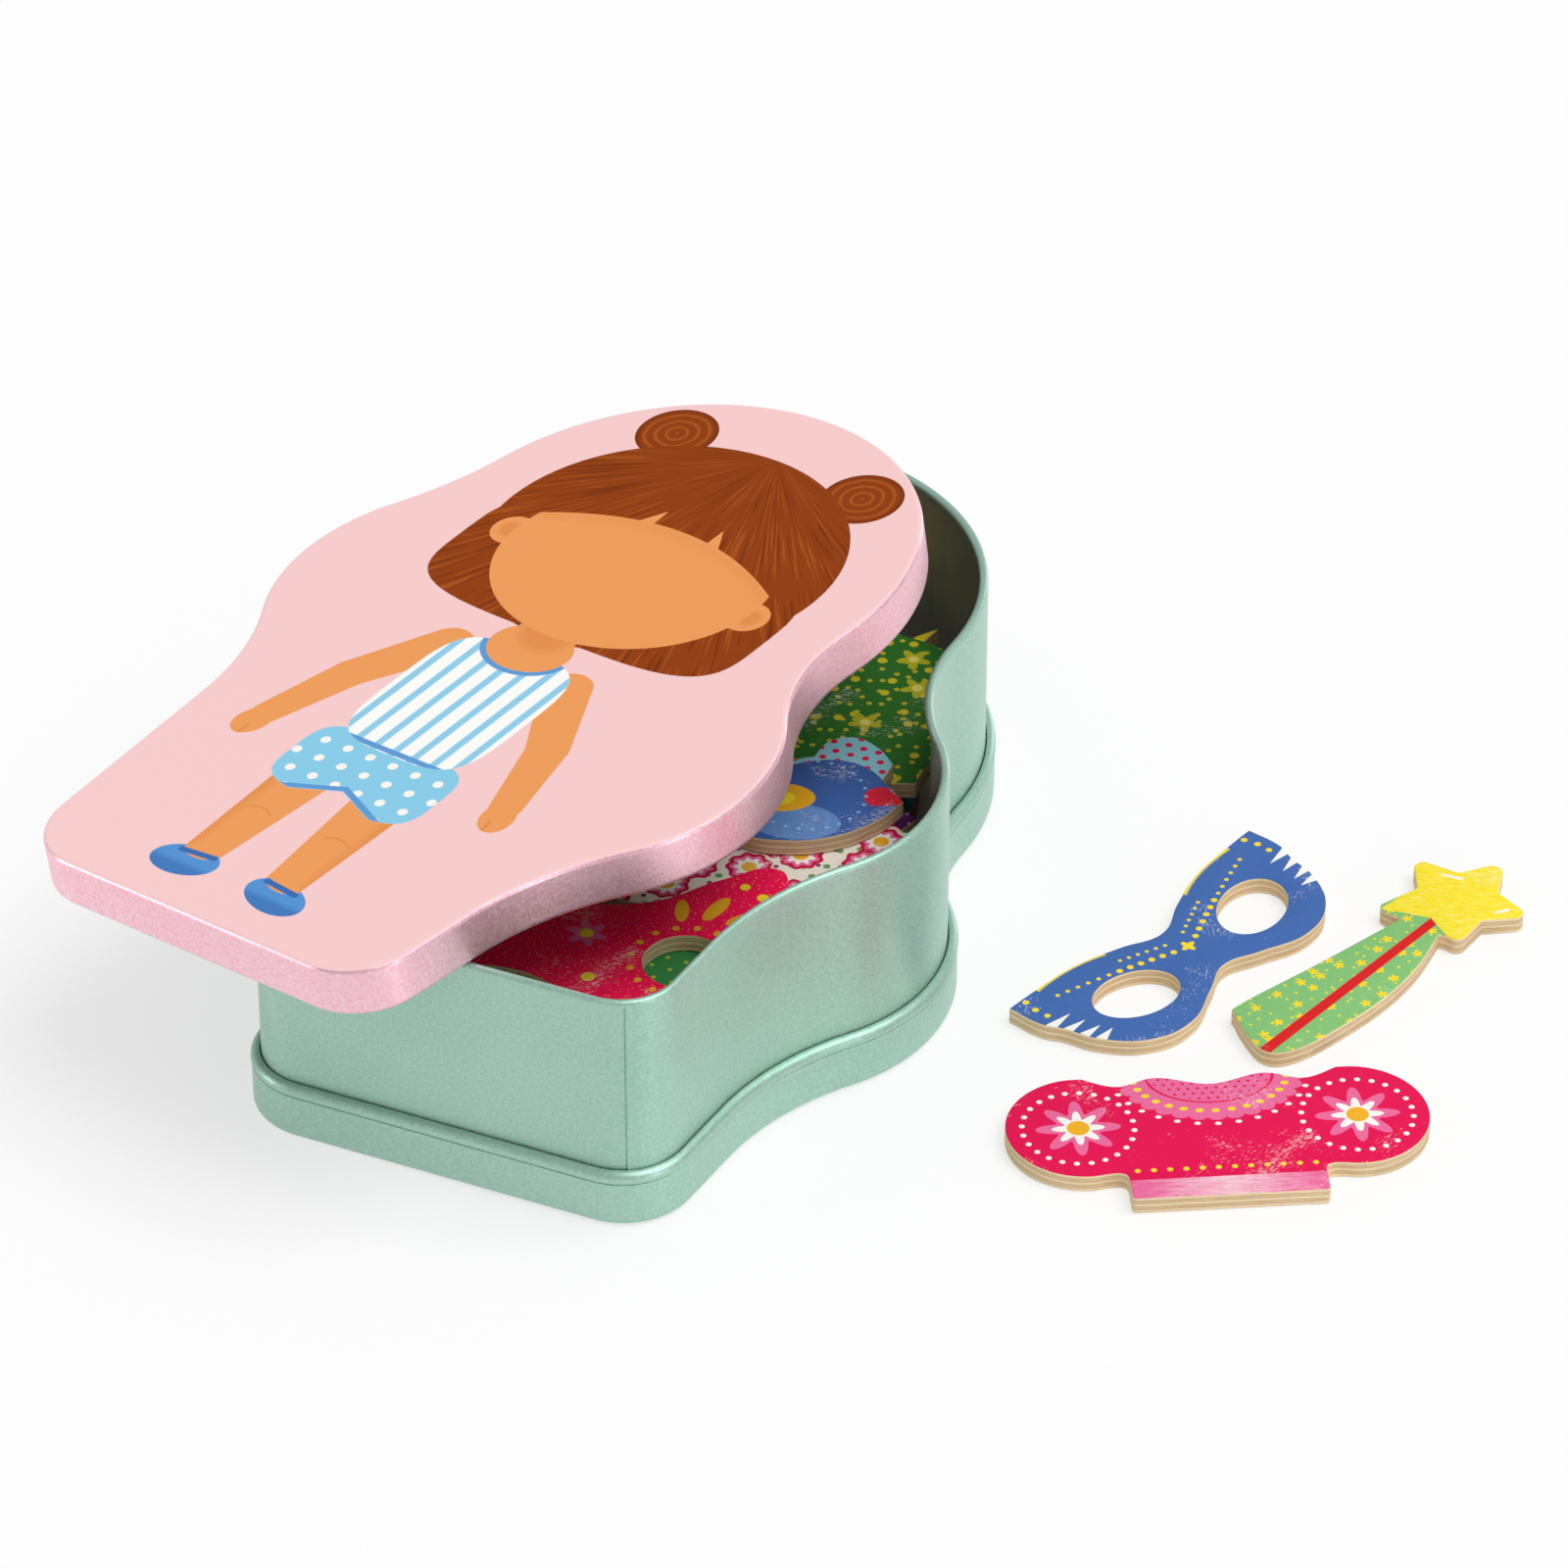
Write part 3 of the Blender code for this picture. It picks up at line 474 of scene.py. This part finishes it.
# each plywood piece: its print, its material slot, and its own place and turn where the middle of its box
# or a square way round won't do
clothes = {
    "eye_mask": {"print": eyeMaskPrint, "slot": "blue", "at": (0.1166, 0.02725), "turn": radians(73.4)},
    "star_wand": {"print": wandPrint, "slot": "green", "at": (0.1623, 0.06745), "turn": radians(-17.5)},
    "blouse": {"print": blousePrint, "slot": "crimson", "at": (0.1425, -0.02585), "turn": radians(28.3)},
    "party_mask": {"print": partyMaskPrint, "slot": "crimson", "at": (0.004, -0.061426), "turn": 0},
    "bird": {"print": birdPrint, "slot": "blue", "at": (0.0335, 0.006752), "turn": 0},
    "floral_skirt": {"print": skirtPrint, "slot": "white"},
    "cape": {"print": capePrint, "slot": "leaf"},
    "vest": {"print": dotted(ink(64, 150, 80), ink(196, 206, 60), 4.2, 0.5), "slot": "leaf"},
    "jacket": {"print": dotted(navy, sky, 6.5, 0.8), "slot": "navy"},
    "round_skirt": {"print": dotted(purple, ink(214, 170, 220), 3.4, 0.4), "slot": "purple"},
    "crown": {"print": dotted(ink(255, 232, 40), ink(214, 90, 110), 6.0, 1.1), "slot": "yellow"},
    "tunic": {"print": dotted(purple, rose, 7.0, 1.2), "slot": "purple"},
    "beret": {"print": striped(orange, yellow, 6.0, 0.3), "slot": "orange"},
    "shorts": {"print": striped(orange, white, 7.0, 0.35), "slot": "orange"},
    "hood": {"print": dotted(crimson, rose, 6.0, 1.2), "slot": "crimson"},
    "coat": {"print": dotted(sky, white, 7.5, 1.4), "slot": "sky"},
    "hair_bow": {"print": dotted(rose, white, 5.0, 0.9), "slot": "rose"},
    "flared_skirt": {"print": striped(rose, ink(250, 205, 220), 8.0, 0.4), "slot": "rose"},
    "brim_hat": {"print": striped(navy, crimson, 12.0, 0.3), "slot": "navy"},
    "trousers": {"print": dotted(navy, ink(120, 150, 200), 6.0, 0.7), "slot": "navy"},
    "wings": {"print": dotted(sky, yellow, 6.5, 1.0), "slot": "sky"},
}

plyEdge = finish("plywoodEdge", {}, plyEdgePaint)
plyBack = finish("plywoodBack", {}, plyBackPaint)
# cleaning the mesh, telling its top, its back, its sides and its upper edge, and the soft edge's form
cut = {
    "weld": 1e-6, "flat": radians(0.5), "level": 0.01, "upright": 0.1, "edgeTurn": 1.0,
    "facingUp": 0.5, "facingDown": -0.9,
    "softEdge": 0.00035, "softSteps": 3, "crease": radians(50), "gloss": 0.07,
}
# an outline's curves: the turn that is a corner, the length that is a straight run, by itself or beside a
# shorter neighbour, and the least length and the greatest number of the new facets on an old one
outline = {"corner": radians(40), "straight": 0.007, "straightBeside": 2.5, "facet": 0.0006, "most": 4}


def wayAlong(before, here, after):  # an outline's direction at a point, or None at a corner
    back, ahead = here - before, after - here
    if back.angle(ahead) > outline["corner"]:
        return None
    if ahead.length > min(outline["straight"], outline["straightBeside"] * back.length):
        return ahead.normalized()
    if back.length > min(outline["straight"], outline["straightBeside"] * ahead.length):
        return back.normalized()
    return (back.normalized() * ahead.length + ahead.normalized() * back.length).normalized()


def topRim(work, thick):
    top = thick * (1 - cut["level"])
    edges = [e for e in work.edges if all(v.co.z > top for v in e.verts)]
    return [e for e in edges if e.calc_face_angle(0) > cut["edgeTurn"]]


def curvePoints(before, first, last, after):  # points of the curve that a facet stands for
    chord = last - first
    count = min(outline["most"], int(chord.length / outline["facet"]))
    run = chord.normalized()
    start, end = wayAlong(before, first, last), wayAlong(first, last, after)
    if chord.length > outline["straight"] or (start is None and end is None):
        return []
    start = start or 2 * run.dot(end) * run - end
    end = end or 2 * run.dot(start) * run - start
    points = []
    for share in [i / count for i in range(1, count)]:
        rest = 1 - share
        bend = share * rest * chord.length * (rest * (start - run) - share * (end - run))
        points.append(first + share * chord + bend)
    return points


def splitRun(work, first, last, points):  # new corners from first to last, set on the points
    made = []
    for point in points:
        fresh = bmesh.utils.edge_split(work.edges.get((first, last)), first, 0.5)[1]
        fresh.co = (point.x, point.y, last.co.z)
        made.append(fresh)
        first = fresh
    return made


def cornerBelow(corner, rimEdge, side):
    return next(e.other_vert(corner) for e in corner.link_edges if e is not rimEdge and side in e.link_faces)


def curved(work, thick):  # bends the facets of the outlines into curves, top and bottom alike
    rim = topRim(work, thick)
    inRim = set(rim)
    plans = []
    for rimEdge in rim:
        side = next(f for f in rimEdge.link_faces if abs(f.normal.z) < cut["upright"])
        ends = list(rimEdge.verts)
        past = [[e.other_vert(v) for e in v.link_edges if e in inRim and e is not rimEdge] for v in ends]
        if len(side.verts) != 4 or any(len(found) != 1 for found in past):
            continue
        points = curvePoints(past[0][0].co, ends[0].co, ends[1].co, past[1][0].co)
        plans.append((ends, [cornerBelow(v, rimEdge, side) for v in ends], points))
    for upper, lower, points in plans:
        above = splitRun(work, *upper, points)
        below = splitRun(work, *lower, points)
        for high, low in zip(above, below):
            bmesh.utils.face_split(next(f for f in high.link_faces if low in f.verts), high, low)
    work.normal_update()


def cutPiece(name, piece):
    low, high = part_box(name)
    at = piece.get("at", ((low.x + high.x) / 2, (low.y + high.y) / 2))
    thick = high.z - low.z
    work = bmesh.new()
    work.from_mesh(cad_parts[name].data)
    bmesh.ops.translate(work, verts=work.verts, vec=(-at[0], -at[1], -low.z))
    bmesh.ops.remove_doubles(work, verts=work.verts, dist=cut["weld"])
    bmesh.ops.dissolve_limit(work, angle_limit=cut["flat"], verts=work.verts, edges=work.edges)
    curved(work, thick)
    bmesh.ops.bevel(
        work, geom=topRim(work, thick), offset=cut["softEdge"], segments=cut["softSteps"],
        profile=0.5, affect="EDGES", clamp_overlap=True,
    )
    work.normal_update()
    for face in work.faces:
        face.smooth = True
        if face.normal.z > cut["facingUp"]:
            face.material_index = 0  # print
        elif face.normal.z < cut["facingDown"] and face.calc_center_median().z < thick * cut["level"]:
            face.material_index = 2  # back
        else:
            face.material_index = 1  # edge
    mesh = bpy.data.meshes.new(name + "Ply")
    work.to_mesh(mesh)
    work.free()
    mesh.set_sharp_from_angle(angle=cut["crease"])
    paint = printed(piece["print"], piece.get("turn", 0))
    for look in (finish(name + "Print", {"Specular IOR Level": cut["gloss"]}, paint), plyEdge, plyBack):
        mesh.materials.append(look)
    made = bpy.data.objects.new(name + "Ply", mesh)
    bpy.context.scene.collection.objects.link(made)
    made.location = (*at, low.z)
    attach(made, name)
    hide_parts(name)
    "plywood_" + piece["slot"]


for name, piece in clothes.items():
    cutPiece(name, piece)
print("plywood pieces:", len(clothes))

ferrite = finish("ferrite", {"Metallic": 0.3}, ferritePaint)
for name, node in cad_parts.items():
    if "_magnet_" in name:
        node.data.materials.clear()
        node.data.materials.append(ferrite)


# the doll's outline: a foot corner, a leg's hollow, an arm, a neck's hollow and the head, on each side
doll = {
    "footHalf": 0.0482, "footCorner": 0.0138, "headY": 0.151, "headRadius": 0.0543,
    "right": {
        "arm": (0.0335, 0.087), "armRadius": 0.0398,
        "legAngle": radians(7), "legRadius": 0.067, "neck": 0.046,
    },
    "left": {
        "arm": (0.0258, 0.1133), "armRadius": 0.0421,
        "legAngle": radians(3), "legRadius": 0.0605, "neck": 0.089,
    },
    "middleY": 0.10265, "fineness": 0.000012,
}
sheetCrease = radians(40)


def arcRun(centre, radius, start, end, side):  # points with the way out of the doll
    count = max(3, ceil(abs(end - start) / (2 * acos(1 - doll["fineness"] / radius))))
    run = []
    for step in range(count + 1):
        turn = start + (end - start) * step / count
        x, y = cos(turn), sin(turn)
        run.append((centre[0] + radius * x, centre[1] + radius * y, side * x, side * y))
    return run


def bearing(here, there):
    return atan2(there[1] - here[1], there[0] - here[0])


def dollSide(half, seamed=False):
    corner, headRadius = doll["footCorner"], doll["headRadius"]
    armRadius, legRadius, neckRadius = half["armRadius"], half["legRadius"], half["neck"]
    foot, arm, head = (doll["footHalf"] - corner, corner), half["arm"], (0, doll["headY"])
    lean = half["legAngle"]
    out, up = (cos(lean), -sin(lean)), (sin(lean), cos(lean))
    first = [foot[i] + (corner + legRadius) * out[i] for i in (0, 1)]
    gap = [first[i] - arm[i] for i in (0, 1)]
    run = gap[0] * up[0] + gap[1] * up[1]
    rise = -run - sqrt(run**2 - gap[0] ** 2 - gap[1] ** 2 + (armRadius + legRadius) ** 2)
    leg = [first[i] + rise * up[i] for i in (0, 1)]
    reachA, reachB = armRadius + neckRadius, headRadius + neckRadius
    span = hypot(head[0] - arm[0], head[1] - arm[1])
    along = (span**2 + reachA**2 - reachB**2) / (2 * span)
    aside = sqrt(reachA**2 - along**2)
    ux, uy = (head[0] - arm[0]) / span, (head[1] - arm[1]) / span
    neck = (arm[0] + along * ux + aside * uy, arm[1] + along * uy - aside * ux)
    full = 2 * pi
    if seamed:
        turn = seam["turn"]
        points = arcRun(foot, corner, -pi / 2, turn + seam["from"] - seam["before"], 1)
        points += arcRun(foot, corner, turn + seam["from"], turn + seam["to"], 1)
        points += arcRun(foot, corner, turn, -lean, 1)
    else:
        points = arcRun(foot, corner, -pi / 2, -lean, 1)
    points += arcRun(leg, legRadius, pi - lean, bearing(leg, arm) % full, -1)
    points += arcRun(arm, armRadius, bearing(arm, leg), bearing(arm, neck), 1)[1:]
    points += arcRun(neck, neckRadius, bearing(neck, arm) % full, bearing(neck, head) % full, -1)[1:]
    points += arcRun(head, headRadius, bearing(head, neck), pi / 2, 1)[1:]
    return points


def dollRing(seamed):
    right, left = dollSide(doll["right"], seamed), dollSide(doll["left"])
    return right + [(-x, y, -nx, ny) for x, y, nx, ny in reversed(left[:-1])]


def quarter(centre, radius, start, end, steps=8):  # part of a section: (out, up) points
    turns = [start + (end - start) * i / steps for i in range(steps + 1)]
    return [(centre[0] + radius * cos(t), centre[1] + radius * sin(t)) for t in turns]


def carried(name, strips, materials, capped, lap=None):
    # strips: (section points, material); each point becomes a ring round the doll
    ring = dollRing(lap is not None)
    work = bmesh.new()
    rings, looks = [], []
    for points, look in strips:
        for out, up in points:
            made = []
            for x, y, nx, ny in ring:
                reach = out + (lap(x, y, up) if lap and out >= 0 else 0)
                made.append(work.verts.new((x + reach * nx, y + reach * ny, up)))
            rings.append(made)
            looks.append(look)
    pairs = list(zip(rings, rings[1:], looks[1:]))
    if not capped:
        pairs.append((rings[-1], rings[0], looks[0]))
    for below, above, look in pairs:
        for i in range(len(ring)):
            j = (i + 1) % len(ring)
            face = work.faces.new((below[i], below[j], above[j], above[i]))
            face.material_index = look
    if capped:
        for end, look in ((rings[0], looks[0]), (rings[-1], looks[-1])):
            work.faces.new(end).material_index = look
    bmesh.ops.recalc_face_normals(work, faces=work.faces)
    for face in work.faces:
        face.smooth = True
    mesh = bpy.data.meshes.new(name)
    work.to_mesh(mesh)
    work.free()
    mesh.set_sharp_from_angle(angle=sheetCrease)
    for look in materials:
        mesh.materials.append(look)
    made = bpy.data.objects.new(name, mesh)
    bpy.context.scene.collection.objects.link(made)
    return made


# hold: rings beside a rounding, which keep its shading to itself
tin = {
    "sheet": 0.0005, "gap": 0.0003, "rim": 0.0568, "roll": 0.001, "rollFrom": 0.2, "rollSteps": 18,
    "bandHeight": 0.0135, "bandStep": 0.0023, "bandRound": 0.0016, "lip": 0.0001, "hollowSteps": 4,
    "beadHeight": 0.0026, "beadProud": 0.0002, "beadFrom": -0.3,
    "crease": {"depth": 0.0004, "below": 0.0002, "above": 0.00015},
    "hold": {"far": 0.0012, "middle": 0.0006, "near": 0.0004},
}
seam = {
    "turn": radians(-62), "lap": 0.00025, "fade": radians(40), "gap": 0.0003,
    "before": 0.003, "from": -0.02, "to": -0.002, "edge": -0.0005, "slack": 0.01,
}
mintMetal = finish("mintEnamel", rolled(mint), enamel(mint))
bareTin = finish("bareTinplate", rolled(tinplate), tinplatePaint)


def sideSeam(x, y, up):  # the lapped edge on the right foot corner: a narrow gap, then the upper sheet
    corner = doll["footCorner"]
    across, along = x - doll["footHalf"] + corner, y - corner
    if hypot(across, along) > corner * (1 + seam["slack"]):
        return 0
    if not tin["bandHeight"] < up < tin["rim"] - tin["roll"]:
        return 0
    past = atan2(along, across) - seam["turn"]
    if seam["from"] * (1 + seam["slack"]) <= past <= seam["to"] * (1 - seam["slack"]):
        return -seam["gap"]
    return seam["lap"] * (1 - past / seam["fade"]) if seam["edge"] < past < seam["fade"] else 0


def makeWall():
    sheet, gap, roll, foot = tin["sheet"], tin["gap"], tin["roll"], tin["sheet"] + tin["gap"]
    bead, flange = tin["rim"] - roll, tin["bandStep"] - tin["bandRound"]
    outside = [(flange, foot), (flange, foot + sheet), (0, foot + 2 * sheet), (0, tin["bandHeight"] + gap)]
    outside += [(0, bead - tin["hold"]["far"]), (0, bead)]
    outside += quarter((-roll, bead), roll, tin["rollFrom"], 1.5 * pi, tin["rollSteps"])
    inside = [(-sheet, bead - roll - sheet), (-sheet, foot)]
    wall = carried("tinWall", [(outside, 0), (inside, 1)], (mintMetal, bareTin), False, sideSeam)
    wall.location.y = -doll["middleY"]
    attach(wall, "tin")
    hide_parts("tin_wall")


def makePan():
    sheet, gap, hold, lip = tin["sheet"], tin["gap"], tin["hold"], tin["lip"]
    top, step, r = tin["bandHeight"], tin["bandStep"], tin["bandRound"]
    small = r - sheet
    crease, face, groove = top - tin["beadHeight"], step - tin["beadProud"], tin["crease"]
    under = [(step - r - hold["far"], 0), (step - r - hold["near"], 0)]
    band = quarter((face - r, r), r, -pi / 2, 0)
    band += [(face, crease - hold["middle"]), (face, crease - groove["below"])]
    band += [(face - groove["depth"], crease), (face, crease + groove["above"])]
    band += quarter((step - r, top - r), r, tin["beadFrom"], pi / 2)
    edgeIn = [(gap + lip, top), (gap, top - lip), (gap, top - sheet)]
    hollow = quarter((step - r, top - r), small, pi / 2, 0, tin["hollowSteps"])
    hollow += quarter((step - r, r), small, 0, -pi / 2, tin["hollowSteps"])
    floor = [(step - r - hold["middle"], sheet)]
    strips = [(under, 0), (band, 0), (edgeIn, 0), (hollow, 1), (floor, 1)]
    pan = carried("basePan", strips, (mintMetal, bareTin), True)
    pan.location.y = -doll["middleY"]
    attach(pan, "tin")
    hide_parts("base_pan")


makeWall()
makePan()
print("tin made")


lid = {
    "skirt": 0.0115, "play": 0.0004, "fold": 0.0011, "hem": 0.0022, "hemRound": 0.0002, "lip": 0.0001,
    "round": 0.0012, "roundSteps": 10, "printSteps": 6, "gloss": 0.03,
    "brush": 420, "wash": ink(255, 240, 236), "washShare": 0.005, "grain": 1800,
    "hold": {"far": 0.001, "near": 0.0003, "side": 0.0004},
    "at": (-0.049806, -0.113324, 0.050532), "tilt": (3.8283, -5.7449, -16.0922),
    "ground": ink(248, 205, 205), "skin": ink(239, 158, 92), "skinShade": ink(224, 138, 74),
    "hair": ink(146, 62, 10), "hairLight": ink(180, 92, 34), "hairDark": ink(112, 44, 6),
    "ribbon": ink(86, 148, 212), "deepRibbon": ink(58, 110, 180),
}


def lidPrint(at):
    half = folded(at)
    x, y = axes(half)[:2]
    skin, shade, hair = lid["skin"], lid["skinShade"], lid["hair"]
    crown = at.space("SUBTRACT", (0, 190, 0))
    cx, cy = axes(crown)[:2]
    around, away = cy.calc("ARCTAN2", cx), crown.space("LENGTH", out=1)
    flow = at.node("CombineXYZ", values={0: around * 60, 1: away * 0.04})
    strands = noise(flow, 1.0, 2, 0.5)
    lighter, darker = edge(strands - 0.61, 0.06), edge(0.4 - strands, 0.06)
    cap = oval(half, (0, 150), (42.5, 39)).calc("MAXIMUM", block(half, (0, 133), (43, 21)))
    face = oval(half, (0, 141), (33.5, 29))
    fringe = cap * edge(y + x * x * 0.009 - 157 - edge(0.9 - abs(x - 9.5 + (y - 156) * 0.3), 1.6) * 5)
    ribbon, neckline = (20.4, 178.6), (0, 106.5)
    bunAway = half.space("DISTANCE", (26.5, 186.5, 0), 1)
    bun = edge(9.4 - bunAway)
    coil = edge((bunAway * 2.6 + noise(at, 0.15) * 3).calc("SINE") - 0.6, 0.4)
    arm = limb(half, (17, 99), (28, 80), 5.7, 4.9) + limb(half, (28, 80), (34, 60), 4.9, 3.8)
    hand = oval(half, (34.9, 56.2), (3.9, 5.2), radians(14))
    leg = limb(half, (10.2, 52), (11.4, 17), 7.4, 4.9)
    shoe = oval(half, (12.8, 11.6), (8.2, 5.0), radians(-10))
    vest = block(half, (0, 83.5), (18, 22))
    shorts = block(half, (0, 53.6), (20.4, 12)) * edge(x * 0.42 + y - 46.6)
    trim = ink(96, 156, 214)
    return lid["ground"], [
        (bun, hair),
        (bun * coil * 0.7, lid["hairLight"]),
        (bun * edge(bunAway - 8.6, 1.2) * 0.7, lid["hairDark"]),
        (oval(half, ribbon, (6.0, 2.6), radians(-50)), lid["ribbon"]),
        (oval(half, ribbon, (2.2, 1.6), radians(-50)), lid["deepRibbon"]),
        (cap, hair),
        (cap * lighter * 0.6, lid["hairLight"]),
        (cap * darker * 0.7, lid["hairDark"]),
        (arm.calc("MINIMUM", 1), skin),
        (hand, skin),
        (hand * edge(0.3 - abs(x - 34.6 + (y - 53) * 0.1)) * edge(54.6 - y) * 0.8, shade),
        (leg, skin),
        (leg * edge(x - 15.2, 3.2) * 0.6, shade),
        (leg * edge(0.3 - abs(y - 33.6 + (x - 11) * (x - 11) * 0.12)) * edge(3.4 - abs(x - 11)) * 0.7, shade),
        (shoe, lid["ribbon"]),
        (shoe * edge(10.4 - y, 2.0) * 0.7, lid["deepRibbon"]),
        (oval(half, (11.9, 15.2), (4.3, 2.0)), skin),
        (limb(half, (7.6, 15.0), (16, 14.2), 0.8, 0.8), lid["deepRibbon"]),
        (shorts, sky),
        (shorts * rows(at, (6.4, 5.6), 1.15), white),
        (shorts * edge(0.8 - abs(x * 0.42 + y - 47.6)), trim),
        (vest, ink(252, 252, 249)),
        (vest * bars(x, 5.2, 0.36, 0.3), ink(146, 206, 234)),
        (vest * edge(0.8 - abs(y - 62.6)), trim),
        (vest * oval(half, neckline, (11.8, 9.6)), trim),
        (oval(half, neckline, (10.4, 8.2)), skin),
        (limb(half, (0, 122), (0, 107), 7.6, 8.0), skin),
        (limb(half, (0, 121), (0, 113), 7.6, 6.6, 3.0) * 0.7, shade),
        (disc(half, (33.4, 139), 5.2), skin),
        (disc(half, (34.0, 139), 2.8, 1.6) * 0.8, shade),
        (face, skin),
        (face * edge(0.4 - abs(y + x * x * 0.009 - 155.4), 5) * 0.5, shade),
        (fringe, hair),
        (fringe * lighter * 0.6, lid["hairLight"]),
        (fringe * darker * 0.7, lid["hairDark"]),
    ]


def lidFacePaint(place):
    level = {"Vector": place, "Rotation": [radians(a) for a in lid["tilt"]]}
    at = millimetres(place.node("VectorRotate", {"rotation_type": "EULER_XYZ", "invert": True}, level))
    brush = noise(stretched(place, (0.5, 1, 1)), lid["brush"], 3, 0.6)
    colour = layered(*lidPrint(at))
    colour = blend(colour, lid["wash"], brush * lid["washShare"])
    grain = noise(place, lid["grain"], 2)
    return {"Base Color": colour, "Roughness": 0.42 + grain * 0.12, "Normal": bump(grain, 0.06, 0.0001)}


def makeLid():
    sheet, top, r, hold = tin["sheet"], lid["skirt"], lid["round"], lid["hold"]
    play, lip, hemTop, hemRound = lid["play"], lid["lip"], lid["hem"], lid["hemRound"]
    outer = play + lid["fold"] + sheet
    small = r - sheet
    corner = quarter((outer - r, top - r), r, pi / 2, 0, lid["roundSteps"])
    rolledOver = lid["printSteps"]  # the print rolls over the edge
    face = [(outer - r - hold["far"], top), (outer - r - hold["near"], top)] + corner[:rolledOver]
    edgeRound = corner[rolledOver:] + [(outer, top - r - hold["side"])]
    skirt = [(outer, r + hold["side"])] + quarter((outer - r, r), r, 0, -pi / 2)
    skirt += [(play + lip, 0), (play, lip)]
    hem = [(play, hemTop - hemRound), (play + hemRound, hemTop), (outer - sheet, hemTop + small)]
    under = quarter((outer - r, top - r), small, 0, pi / 2, tin["hollowSteps"])
    under += [(outer - r - hold["far"], top - sheet)]
    looks = (
        finish("lidPrint", {"Specular IOR Level": lid["gloss"]}, lidFacePaint),
        finish("pinkEnamel", rolled(pinkMetal), enamel(pinkMetal)),
        bareTin,
    )
    strips = [(face, 0), (edgeRound, 1), (skirt, 1), (hem, 2), (under, 2)]
    made = carried("lidShell", strips, looks, True)
    made.data.transform(Euler([radians(a) for a in lid["tilt"]]).to_matrix().to_4x4())
    made.location = lid["at"]
    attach(made, "lid")
    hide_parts("lid")


makeLid()
print("lid made")


studio = {
    "azimuth": radians(23.73), "elevation": radians(36.26), "aim": (0.00896, 0.05173, 0),
    "distance": 1.748, "lens": 180, "sensor": 36,
    "floorReach": 4, "floorTop": -0.0001, "floorTone": 0.95, "floorRoughness": 0.9, "lift": 0.62,
    "world": 0.5, "sun": 1.66, "sunFrom": (0.42, 0.1, 1.0), "sunSpread": radians(46),
    "stripAway": 1.1, "stripAim": (0, 0, 0.04),
    "strips": [  # low softboxes: bearing from the doll's feet, height, size and power
        {"bearing": radians(66), "height": 0.14, "size": (0.14, 0.28), "power": 1.1},
        {"bearing": radians(165), "height": 0.14, "size": (0.14, 0.28), "power": 0.7},
        {"bearing": radians(-58), "height": 0.16, "size": (0.4, 0.32), "power": 1.8},
    ],
}


def makeFloor():
    mesh = bpy.data.meshes.new("floor")
    reach, top, tone = studio["floorReach"], studio["floorTop"], studio["floorTone"]
    corners = [(-reach, -reach, top), (reach, -reach, top), (reach, reach, top), (-reach, reach, top)]
    mesh.from_pydata(corners, [], [(0, 1, 2, 3)])
    floor = bpy.data.objects.new("floor", mesh)
    bpy.context.scene.collection.objects.link(floor)
    look = bpy.data.materials.new("paleFloor")
    look.use_nodes = True
    tree = look.node_tree
    shader = tree.nodes["Principled BSDF"]
    shader.inputs["Base Color"].default_value = (tone, tone, tone, 1)
    shader.inputs["Roughness"].default_value = studio["floorRoughness"]
    path = tree.nodes.new("ShaderNodeLightPath")
    seen = Wire(tree, path.outputs["Is Camera Ray"])
    for ray in ("Is Glossy Ray", "Is Transmission Ray"):
        seen = seen.calc("MAXIMUM", Wire(tree, path.outputs[ray]))
    glow = tree.nodes.new("ShaderNodeEmission")
    mix = tree.nodes.new("ShaderNodeMixShader")
    tree.links.new((seen * studio["lift"]).socket, mix.inputs[0])
    tree.links.new(shader.outputs[0], mix.inputs[1])
    tree.links.new(glow.outputs[0], mix.inputs[2])
    tree.links.new(mix.outputs[0], tree.nodes["Material Output"].inputs["Surface"])
    mesh.materials.append(look)


def makeLight():
    world = bpy.data.worlds.new("studio")
    bpy.context.scene.world = world
    world.use_nodes = True
    back = world.node_tree.nodes["Background"]
    back.inputs["Color"].default_value = (1, 1, 1, 1)
    back.inputs["Strength"].default_value = studio["world"]
    lamp = bpy.data.lights.new("key", "SUN")
    lamp.energy = studio["sun"]
    lamp.angle = studio["sunSpread"]
    key = bpy.data.objects.new("key", lamp)
    bpy.context.scene.collection.objects.link(key)
    key.rotation_euler = Vector(studio["sunFrom"]).to_track_quat("Z", "Y").to_euler()
    for count, strip in enumerate(studio["strips"]):
        lamp = bpy.data.lights.new("strip" + str(count), "AREA")
        lamp.shape = "RECTANGLE"
        lamp.size, lamp.size_y = strip["size"]
        lamp.energy = strip["power"]
        box = bpy.data.objects.new("strip" + str(count), lamp)
        bpy.context.scene.collection.objects.link(box)
        away = studio["stripAway"]
        box.location = (away * sin(strip["bearing"]), -away * cos(strip["bearing"]), strip["height"])
        box.rotation_euler = (box.location - Vector(studio["stripAim"])).to_track_quat("Z", "Y").to_euler()
        box.visible_camera = False


def makeCamera():
    a, e = studio["azimuth"], studio["elevation"]
    back = Vector((sin(a) * cos(e), -cos(a) * cos(e), sin(e)))
    lens = bpy.data.cameras.new("camera")
    lens.lens = studio["lens"]
    lens.sensor_width = studio["sensor"]
    camera = bpy.data.objects.new("camera", lens)
    bpy.context.scene.collection.objects.link(camera)
    camera.location = Vector(studio["aim"]) + back * studio["distance"]
    camera.rotation_euler = back.to_track_quat("Z", "Y").to_euler()
    bpy.context.scene.camera = camera


makeFloor()
makeLight()
makeCamera()
bpy.context.scene.view_settings.view_transform = "Standard"
print("stage ready")
